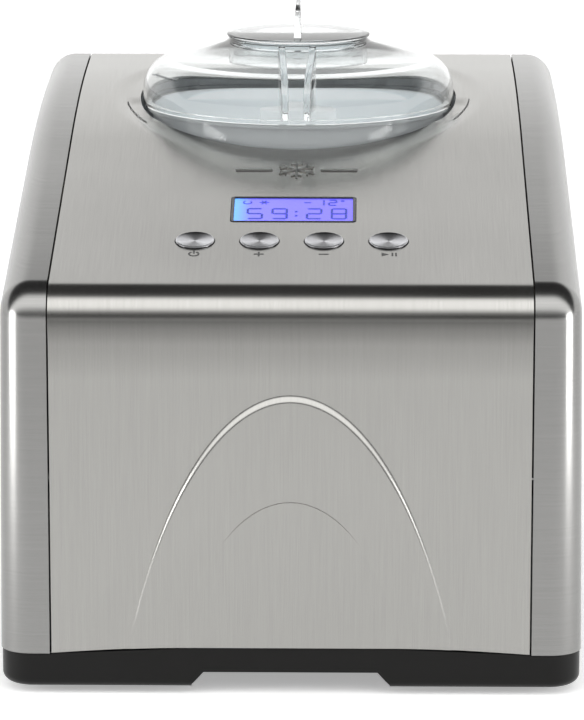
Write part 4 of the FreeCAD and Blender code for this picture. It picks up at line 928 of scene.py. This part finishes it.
def key_caps():
    """Four spun keys: dished face, bright rim, and a collar under the panel."""
    names = ["button_power", "button_more", "button_less", "button_start"]
    dish_end = -90 + math.degrees(math.asin(KEY_DISH_EDGE / KEY_DISH_R))
    dish = arc(0, KEY_PROUD + KEY_DISH_R - KEY_DISH_SINK, KEY_DISH_R, -90, dish_end, 8)
    outline = [(ON_AXIS, dish[0][1])] + dish[1:]
    outline += arc(KEY_R - 0.5 * MM, KEY_PROUD - 0.5 * MM, 0.5 * MM, 90, 0, 4)
    outline += [
        (KEY_R, -3.1 * MM), (KEY_R + 1.5 * MM, -3.1 * MM), (KEY_R + 1.5 * MM, -4.3 * MM),
        (3 * MM, -4.3 * MM), (3 * MM, -6 * MM), (ON_AXIS, -6 * MM),
    ]
    for i, name in enumerate(names):
        piece = lathe(name + "_cap", outline, steps=72)
        on_slope(piece, key_x(i), KEY_Y)
        smooth(piece, 25)
        centre = (key_x(i), KEY_Y, top_z(KEY_Y))
        finish(piece, name + "_body", "spun_steel", spun_steel(name + "_steel", centre), name)


def bar(x, y, length, width, height, turn=0.0, lift=0.0):
    """Thin printed or raised bar drawn about the origin, with softened edges."""
    piece = block("bar", (-length / 2, -width / 2, 0), (length / 2, width / 2, height))
    bevel_edges(piece, lambda a, b: abs(a.z - b.z) > height / 2, min(width, length) * 0.3, 2)
    return settle(piece, (x, y, lift), (0, 0, turn))


def ring_mark(x, y, radius, width, height, start=0.0, sweep=360.0):
    """Flat ring or part of a ring, angles in degrees."""
    outline = [(radius, 0), (radius + width, 0), (radius + width, height), (radius, height)]
    piece = lathe("ring_mark", outline, steps=40, sweep=sweep)
    return settle(piece, (x, y, 0), (0, 0, math.radians(start)))


def wedge_mark(x, y, size, height):
    """Flat triangle that points along X."""
    deselect()
    bpy.ops.mesh.primitive_cylinder_add(vertices=3, radius=size, depth=height, location=(0, 0, height / 2))
    piece = named("wedge_mark")
    settle(piece, (0, 0, height / 2))
    return settle(piece, (x, y, 0), (0, 0, math.radians(-90)))


def key_symbols():
    """Generic marks in front of the keys: power, more, less, start and stop."""
    thin = 0.9 * MM
    lift = 0.12 * MM
    y = -15.6 * MM
    marks = [
        ring_mark(key_x(0), y, 2.0 * MM, 0.8 * MM, lift, 60, 300),
        bar(key_x(0), y + 2.2 * MM, thin, 3.4 * MM, lift),
        bar(key_x(1), y, 5 * MM, thin, lift),
        bar(key_x(1), y, thin, 5 * MM, lift * 1.1),
        bar(key_x(2), y, 5 * MM, thin, lift),
        wedge_mark(key_x(3) - 2.4 * MM, y, 2.3 * MM, lift),
        bar(key_x(3) + 1.8 * MM, y, thin, 3.8 * MM, lift),
        bar(key_x(3) + 3.6 * MM, y, thin, 3.8 * MM, lift),
    ]
    piece = joined("key_symbols", marks)
    on_slope(piece, 0, KEY_Y)
    finish(piece, "root", "dark_plastic", print_and_shadow_ink)


def frost_motif():
    """Raised six-armed frost star between two lines, pressed in the slope."""
    lift = 0.55 * MM
    parts = []
    for k in range(6):
        turn = math.radians(60 * k + 30)
        direction = Vector((math.cos(turn), math.sin(turn)))
        centre = direction * 5.2 * MM
        parts.append(bar(centre.x, centre.y, 10.4 * MM, 1.3 * MM, lift, turn))
        for side in (-1, 1):
            branch = turn + side * math.radians(55)
            root = direction * 6.2 * MM
            spot = root + Vector((math.cos(branch), math.sin(branch))) * 1.6 * MM
            parts.append(bar(spot.x, spot.y, 3.6 * MM, 1.1 * MM, lift, branch))
    for side in (-1, 1):
        parts.append(bar(side * 22 * MM, 0, 19 * MM, 2.2 * MM, lift))
    piece = joined("frost_motif", parts)
    on_slope(piece, 0.8 * MM, -40.5 * MM, -0.05 * MM)
    smooth(piece, 30)
    finish(piece, "root", "brushed_sheet", motif_steel)


DIGIT_PARTS = {"1": "bc", "2": "abged", "5": "afgcd", "8": "abcdefg", "9": "abcdfg", "-": "g"}


def segment_places(w, h):
    """Middle and turn in degrees of each bar of a seven-bar digit."""
    return {
        "a": (0, h, 0), "g": (0, 0, 0), "d": (0, -h, 0),
        "b": (w, h / 2, 90), "c": (w, -h / 2, 90), "e": (-w, -h / 2, 90), "f": (-w, h / 2, 90),
    }


def lcd_segment(x, y, length, width, height, turn):
    """Six-sided bar of a digit, its ends drawn to points."""
    half = length / 2 - width / 2
    piece = block("segment", (-half, -width / 2, 0), (half, width / 2, height))
    for side in (-1, 1):
        edit_faces(piece, lambda c, n: n.x * side > 0.9)
        bpy.ops.mesh.extrude_region_move(TRANSFORM_OT_translate={"value": (side * width / 2, 0, 0)})
        bpy.ops.transform.resize(value=(1, 0.1, 1))
        leave_edit()
    return settle(piece, (x, y, 0), (0, 0, math.radians(turn)))


def digit(symbol, x, y, w, h, stroke, height):
    """Bars of one digit, its half width w and half height h."""
    parts = []
    places = segment_places(w, h)
    for part in DIGIT_PARTS[symbol]:
        px, py, turn = places[part]
        length = (2 * w if turn == 0 else h) - stroke * 0.35
        parts.append(lcd_segment(x + px, y + py, length, stroke, height, turn))
    return parts


def display():
    """Bezel, lit screen and raised dark digits."""
    hw = DISPLAY_W / 2
    hh = DISPLAY_H / 2
    bezel = block("display_bezel", (-hw, -hh, -1.4 * MM), (hw, hh, 0.25 * MM))
    bevel_edges(bezel, lambda a, b: abs(a.z - b.z) > MM, 2.0 * MM, 5)
    edit_faces(bezel, lambda c, n: n.z > 0.9)
    bpy.ops.mesh.inset(thickness=1.5 * MM)
    bpy.ops.mesh.extrude_region_move(TRANSFORM_OT_translate={"value": (0, 0, -0.7 * MM)})
    leave_edit()
    soften(bezel, 0.15 * MM)
    on_slope(bezel, 0, DISPLAY_Y)
    smooth(bezel, 30)
    finish(bezel, "root", "dark_plastic", bezel_plastic, "display_window")

    rim = 1.2 * MM
    screen = block("display_screen", (rim - hw, rim - hh, -0.6 * MM), (hw - rim, hh - rim, -0.35 * MM))
    bevel_edges(screen, lambda a, b: abs(a.z - b.z) > 0.1 * MM, 1.5 * MM, 5)
    on_slope(screen, 0, DISPLAY_Y)
    finish(screen, "root", "blue_display", lit_screen())

    lift = 0.12 * MM
    marks = []
    for first_x, symbols in ((-19.5, "59"), (10.5, "28")):
        for k, symbol in enumerate(symbols):
            x = (first_x + 12.5 * k) * MM
            marks += digit(symbol, x, -4.6 * MM, 3.6 * MM, 6.2 * MM, 1.2 * MM, lift)
    for side in (-1, 1):
        marks.append(bar(1.4 * MM, (-4.6 + side * 2.6) * MM, 1.4 * MM, 1.4 * MM, lift))
    for k, symbol in enumerate("-12"):
        marks += digit(symbol, (7 + 6.4 * k) * MM, 9.4 * MM, 1.9 * MM, 3.2 * MM, 0.9 * MM, lift)
    marks.append(ring_mark(24.8 * MM, 11.6 * MM, 0.5 * MM, 0.5 * MM, lift))
    for k in range(3):
        turn = math.radians(60 * k)
        marks.append(bar(-15 * MM, 9.6 * MM, 5 * MM, 0.6 * MM, lift, turn))
    marks.append(ring_mark(-23.5 * MM, 9.6 * MM, 1.7 * MM, 0.6 * MM, lift, 40, 280))
    digits = joined("display_digits", marks)
    on_slope(digits, 0, DISPLAY_Y, -0.35 * MM)
    finish(digits, "root", "blue_display", digit_ink)


# ---- bowl, lid, cap and paddle ----

LID_T = 1.8 * MM
WIDEST_Z = 265.8 * MM
SHOULDER_R = 18.0 * MM
DOME_SLOPE = 14.7
FILL_R = 35.4 * MM
COLLAR_BOTTOM = 280.7 * MM
LEDGE_GAP = 0.3 * MM
LEDGE_T = 2.1 * MM
LEDGE_REACH = 3 * MM
RIB_HALF = 1.8 * MM
RIB_SPACING = 8.4 * MM
RIB_SPLAY = math.radians(3.2)
RIB_LIFT = 0.9 * MM
MARK_R = 80.5 * MM
CAP_T = 1.6 * MM
FIN_HALF_T = 2.0 * MM
FIN_HALF_LENGTH = 25 * MM
BOWL_T = 1.5 * MM
BOWL_FOOT_R = 10 * MM
TUBE_TOP = 164 * MM


def dome_line(inset):
    """Shoulder arc from the widest place up to the dome's cone."""
    return arc(LID_R - SHOULDER_R, WIDEST_Z, SHOULDER_R - inset, 0, 90 - DOME_SLOPE, 14)


def dome_z(r, inset):
    """Height of the dome's cone over a radius."""
    r0, z0 = dome_line(inset)[-1]
    return z0 + (r0 - r) * math.tan(math.radians(DOME_SLOPE))


def clear_lid():
    """Dome with its collar and the ledge that sits on the bowl's rim, and two ribs."""
    r_in = LID_R - LID_T
    out = FILL_R + LID_T
    ledge_z = BOWL_RIM_Z + LEDGE_GAP
    outline = [(LID_R - 0.4 * MM, LID_SKIRT_Z)]
    outline += dome_line(0)
    outline += arc(out + 2 * MM, dome_z(out + 2 * MM, 0) + 2.2 * MM, 2.0 * MM, 255, 185, 4)
    chip = 0.4 * MM
    outline += [(out, COLLAR_TOP - chip), (out - chip, COLLAR_TOP), (FILL_R + chip, COLLAR_TOP)]
    outline += [(FILL_R, COLLAR_TOP - chip), (FILL_R, COLLAR_BOTTOM + chip)]
    outline += arc(FILL_R + LID_T / 2, COLLAR_BOTTOM + LID_T / 2, LID_T / 2, 180, 360, 6)
    outline += [(out, dome_z(out, LID_T) - 0.6 * MM), (out + 0.8 * MM, dome_z(out + 0.8 * MM, LID_T))]
    outline += list(reversed(dome_line(LID_T)))
    ledge_r = r_in - LEDGE_REACH
    outline += [(r_in, ledge_z + LEDGE_T), (ledge_r, ledge_z + LEDGE_T), (ledge_r, ledge_z)]
    outline += [(r_in, ledge_z), (r_in, LID_SKIRT_Z)]
    piece = lathe("clear_lid", outline, (0, AXIS_Y), 128)
    smooth(piece, 32)
    finish(piece, "lid_body", "clear_plastic", lid_plastic, "lid")
    ribs = []
    for side in (-1, 1):
        low = (-RIB_HALF, -LID_R + 0.4 * MM, BOWL_RIM_Z + 2.6 * MM)
        rib = block("rib", low, (RIB_HALF, -out - 0.1 * MM, COLLAR_TOP))
        edit(rib)
        for k in range(1, 24):
            y = -LID_R + k * 2.0 * MM
            bpy.ops.mesh.select_all(action="SELECT")
            bpy.ops.mesh.bisect(plane_co=(0, y, 0), plane_no=(0, 1, 0))
        leave_edit()
        for vertex in rib.data.vertices:
            if vertex.co.z > BOWL_RIM_Z + 10 * MM:
                vertex.co.z = rib_top(abs(vertex.co.y), out)
        soften(rib, 0.5 * MM, 3)
        hinge = Matrix.Translation((side * RIB_SPACING, AXIS_Y - FILL_R, 0))
        splay = Matrix.Rotation(-side * RIB_SPLAY, 4, "Z")
        rib.data.transform(hinge @ splay @ Matrix.Translation((0, FILL_R, 0)))
        ribs.append(rib)
    channel = joined("lid_ribs", ribs)
    smooth(channel, 40)
    finish(channel, "lid_body", "clear_plastic", lid_plastic)


def lid_marks():
    """Small moulded arc with two end ticks on the lid's left shoulder."""
    parts = []
    for k in range(9):
        turn = math.radians(180 + 20 + 2.2 * k)
        tick = k in (0, 8)
        z = WIDEST_Z + math.sqrt(SHOULDER_R ** 2 - (MARK_R - LID_R + SHOULDER_R) ** 2)
        length = 4.0 * MM if tick else 3.3 * MM
        mark = block("mark", (-length / 2, -0.4 * MM, -0.3 * MM), (length / 2, 0.4 * MM, 0.45 * MM))
        spot = (MARK_R * math.cos(turn), AXIS_Y + MARK_R * math.sin(turn), z)
        settle(mark, spot, (0, 0, turn if tick else turn + math.pi / 2))
        parts.append(mark)
    piece = joined("lid_marks", parts)
    finish(piece, "lid_body", "clear_plastic", mark_plastic)


def rib_top(r, collar_r):
    """Top edge of a rib: from the collar's rim down over the dome's shoulder."""
    rad = SHOULDER_R + RIB_LIFT
    off = min(rad, max(0.0, r - (LID_R - SHOULDER_R)))
    shoulder = WIDEST_Z + math.sqrt(rad * rad - off * off)
    r0 = dome_line(0)[-1][0]
    over = dome_z(r, 0) + RIB_LIFT if r < r0 else shoulder
    climb = 1 - ease((r - collar_r) / (9 * MM))
    return over + climb * (COLLAR_TOP - 0.5 * MM - over)


def refill_cap():
    """Disc with a hollow plug below it and a thin fin to lift it by."""
    cap_r = (cap_high.x - cap_low.x) / 2
    z0 = COLLAR_TOP + 0.3 * MM
    z1 = z0 + CAP_T
    plug = FILL_R - 0.5 * MM
    outline = [(ON_AXIS, z1)]
    outline += arc(cap_r - 0.8 * MM, z1 - 0.8 * MM, 0.8 * MM, 90, -90, 8)
    outline += [(plug, z0), (plug, cap_low.z + 0.4 * MM), (plug - 0.4 * MM, cap_low.z)]
    outline += [(plug - CAP_T, cap_low.z), (plug - CAP_T, z0), (ON_AXIS, z0)]
    disc = lathe("refill_cap_disc", outline, (0, AXIS_Y), 112)
    smooth(disc, 32)
    finish(disc, "cap_body", "clear_plastic", lid_plastic, "refill_cap")
    low = (-FIN_HALF_T, AXIS_Y - FIN_HALF_LENGTH, z1 + 0.02 * MM)
    fin = block("refill_cap_fin", low, (FIN_HALF_T, AXIS_Y + FIN_HALF_LENGTH, cap_high.z))
    for vertex in fin.data.vertices:
        if vertex.co.z > z1 + MM:
            vertex.co.x *= 0.55
    bevel_edges(fin, lambda a, b: min(a.z, b.z) > cap_high.z - MM and abs(a.x - b.x) > MM, 9 * MM, 8)
    soften(fin, 0.35 * MM, 2)
    smooth(fin, 32)
    finish(fin, "cap_body", "clear_plastic", lid_plastic)


def aluminium_bowl():
    """Spun bowl with a rolled rim and a tube in its middle for the drive shaft."""
    foot_z = BOWL_FLOOR_Z + BOWL_FOOT_R
    inside = BOWL_R - BOWL_T
    outline = [(7.5 * MM, BOWL_FLOOR_Z)]
    outline += arc(BOWL_R - BOWL_FOOT_R, foot_z, BOWL_FOOT_R, -90, 0, 8)
    outline += [(BOWL_R, BOWL_RIM_Z - 2.5 * MM)]
    outline += arc(BOWL_FLANGE_R - 1.2 * MM, BOWL_RIM_Z - 1.25 * MM, 1.2 * MM, -90, 90, 8)
    outline += arc(inside + BOWL_T, BOWL_RIM_Z - BOWL_T, BOWL_T, 90, 180, 5)
    outline += arc(BOWL_R - BOWL_FOOT_R, foot_z, BOWL_FOOT_R - BOWL_T, 0, -90, 8)
    outline += [(14 * MM, BOWL_FLOOR_Z + BOWL_T), (10 * MM, BOWL_FLOOR_Z + 6 * MM)]
    outline += [(9.2 * MM, TUBE_TOP), (7.5 * MM, TUBE_TOP)]
    piece = lathe("aluminium_bowl", outline, (0, AXIS_Y), 128)
    smooth(piece, 32)
    finish(piece, "bowl_body", "bare_aluminium", bowl_metal, "bowl")


def stirring_paddle():
    piece = merged_copy("stirring_paddle", "paddle")
    soften(piece, 0.6 * MM, 2, 50)
    smooth(piece, 35)
    finish(piece, "paddle_body", "white_plastic", paddle_plastic, "paddle")


# ---- base, liner and rear ----

# The liner's lip stands this far below the frame's, clear of the pressed ring.
LINER_DROP = 2.0 * MM

def from_frame(name, node, slot, material):
    """A fixed piece that keeps the shape the frame has for it."""
    return finish(merged_copy(name, node), "root", slot, material, node)


def carried_over():
    """Finishes for the pieces that stay as the frame has them."""
    finishes = {
        zinc_steel: [
            "cover_screws", "idler_pin", "gearbox_screws", "drive_motor", "drive_frame",
            "pot_brackets", "compressor_plate", "compressor_bolts", "drive_shaft", "motor_shaft",
            "fan_shaft",
        ],
        black_rubber: ["rubber_feet", "shaft_seal", "compressor_grommets", "cord_gland"],
        pot_metal: ["cooling_pot", "condenser_fins"],
        copper: [
            "evaporator_coil", "condenser_tube", "filter_drier", "discharge_line", "suction_line",
            "capillary_line",
        ],
        bronze: ["shaft_bush", "pot_bush", "motor_pinion"],
        foam: ["insulation_jacket"],
        gear_plastic: ["output_gear", "idler_gear"],
        liner_plastic: ["board_carrier", "gearbox_housing", "gearbox_cover"],
        enamel: ["compressor", "fan_motor"],
        rear_plastic: ["fan_shroud", "condenser_fan", "tact_switches", "display_module"],
        circuit_green: ["control_board", "power_board"],
    }
    for material, names in finishes.items():
        for name in names:
            node = nodes[name]
            node.data.materials.clear()
            node.data.materials.append(material)


wrapped_sheet()
side_shell()
recess_lines()
key_caps()
key_symbols()
frost_motif()
display()
clear_lid()
lid_marks()
refill_cap()
aluminium_bowl()
stirring_paddle()
from_frame("base_tray", "base_pan", "dark_plastic", base_plastic)
liner = from_frame("opening_liner", "opening_ring", "grey_plastic", liner_plastic)
liner.data.transform(Matrix.Translation((0, 0, -LINER_DROP)))
from_frame("rear_panel", "rear_cover", "dark_plastic", rear_plastic)
carried_over()


# ---- studio ----

SOFTBOX_SIZE = (0.32, 0.3)
SOFTBOX_POWER = 2.9
SOFTBOX_TARGET = Vector((0, -0.15, 0.12))

def add_floor():
    """White paper that glows faintly, so that it meets the surround unseen."""
    deselect()
    bpy.ops.mesh.primitive_plane_add(size=24, location=(0, 4, 0))
    floor = named("studio_floor")
    material, tree, shader = new_material("floor_paper")
    fibre = noise(tree, (3, 3, 3), detail=2.0)
    white = two_tone(tree, fibre, (0.93, 0.93, 0.93), (0.95, 0.95, 0.95))
    tree.links.new(white, shader.inputs["Base Color"])
    shader.inputs["Roughness"].default_value = 0.9
    shader.inputs["Emission Color"].default_value = (1, 1, 1, 1)
    shader.inputs["Emission Strength"].default_value = 0.36
    floor.data.materials.append(material)


def add_sky():
    """Studio surround by degrees from the rear horizon: bright low bands, a dark ceiling."""
    world = bpy.data.worlds.new("studio")
    bpy.context.scene.world = world
    world.use_nodes = True
    tree = world.node_tree
    place = put(tree, "ShaderNodeTexCoord")
    split = put(tree, "ShaderNodeSeparateXYZ")
    tree.links.new(place.outputs["Generated"], split.inputs["Vector"])
    angle = put(tree, "ShaderNodeMath", operation="ARCTAN2")
    tree.links.new(split.outputs["Z"], angle.inputs[0])
    tree.links.new(split.outputs["Y"], angle.inputs[1])
    share = spread(tree, angle.outputs[0], 0.0, 1.0, 0.0, math.pi)
    levels = [
        (0, 1.25), (18, 1.3), (39, 1.35), (46, 0.35), (52, 0.06), (90, 0.06), (105, 0.1),
        (114, 1.8), (122, 2.3), (145, 2.2), (158, 0.8), (168, 0.2), (180, 0.2),
    ]
    stops = [(degrees / 180, (level, level, level * 0.995)) for degrees, level in levels]
    tree.links.new(many_tones(tree, share, stops), tree.nodes["Background"].inputs["Color"])
    tree.nodes["Background"].inputs["Strength"].default_value = 1.0


def softbox_receivers():
    """The steel, base and floor: the clear lid stays free of lamp reflections."""
    receivers = bpy.data.collections.new("softbox_receivers")
    for name in ("wrapped_sheet", "right_side_shell", "left_side_shell", "studio_floor", "base_tray"):
        receivers.objects.link(bpy.data.objects[name])
    return receivers


def add_softboxes():
    """A low panel on each side, aimed at the front corners."""
    receivers = softbox_receivers()
    for name, side in (("left_softbox", -1), ("right_softbox", 1)):
        data = bpy.data.lights.new(name, "AREA")
        data.shape = "RECTANGLE"
        data.size, data.size_y = SOFTBOX_SIZE
        data.energy = SOFTBOX_POWER
        lamp = bpy.data.objects.new(name, data)
        bpy.context.scene.collection.objects.link(lamp)
        place = Vector((side * 0.85, -0.42, 0.16))
        lamp.location = place
        lamp.rotation_euler = (SOFTBOX_TARGET - place).to_track_quat("-Z", "Y").to_euler()
        lamp.light_linking.receiver_collection = receivers
        lamp.visible_camera = False


add_floor()
add_sky()
add_softboxes()
bpy.context.scene.view_settings.view_transform = "Standard"
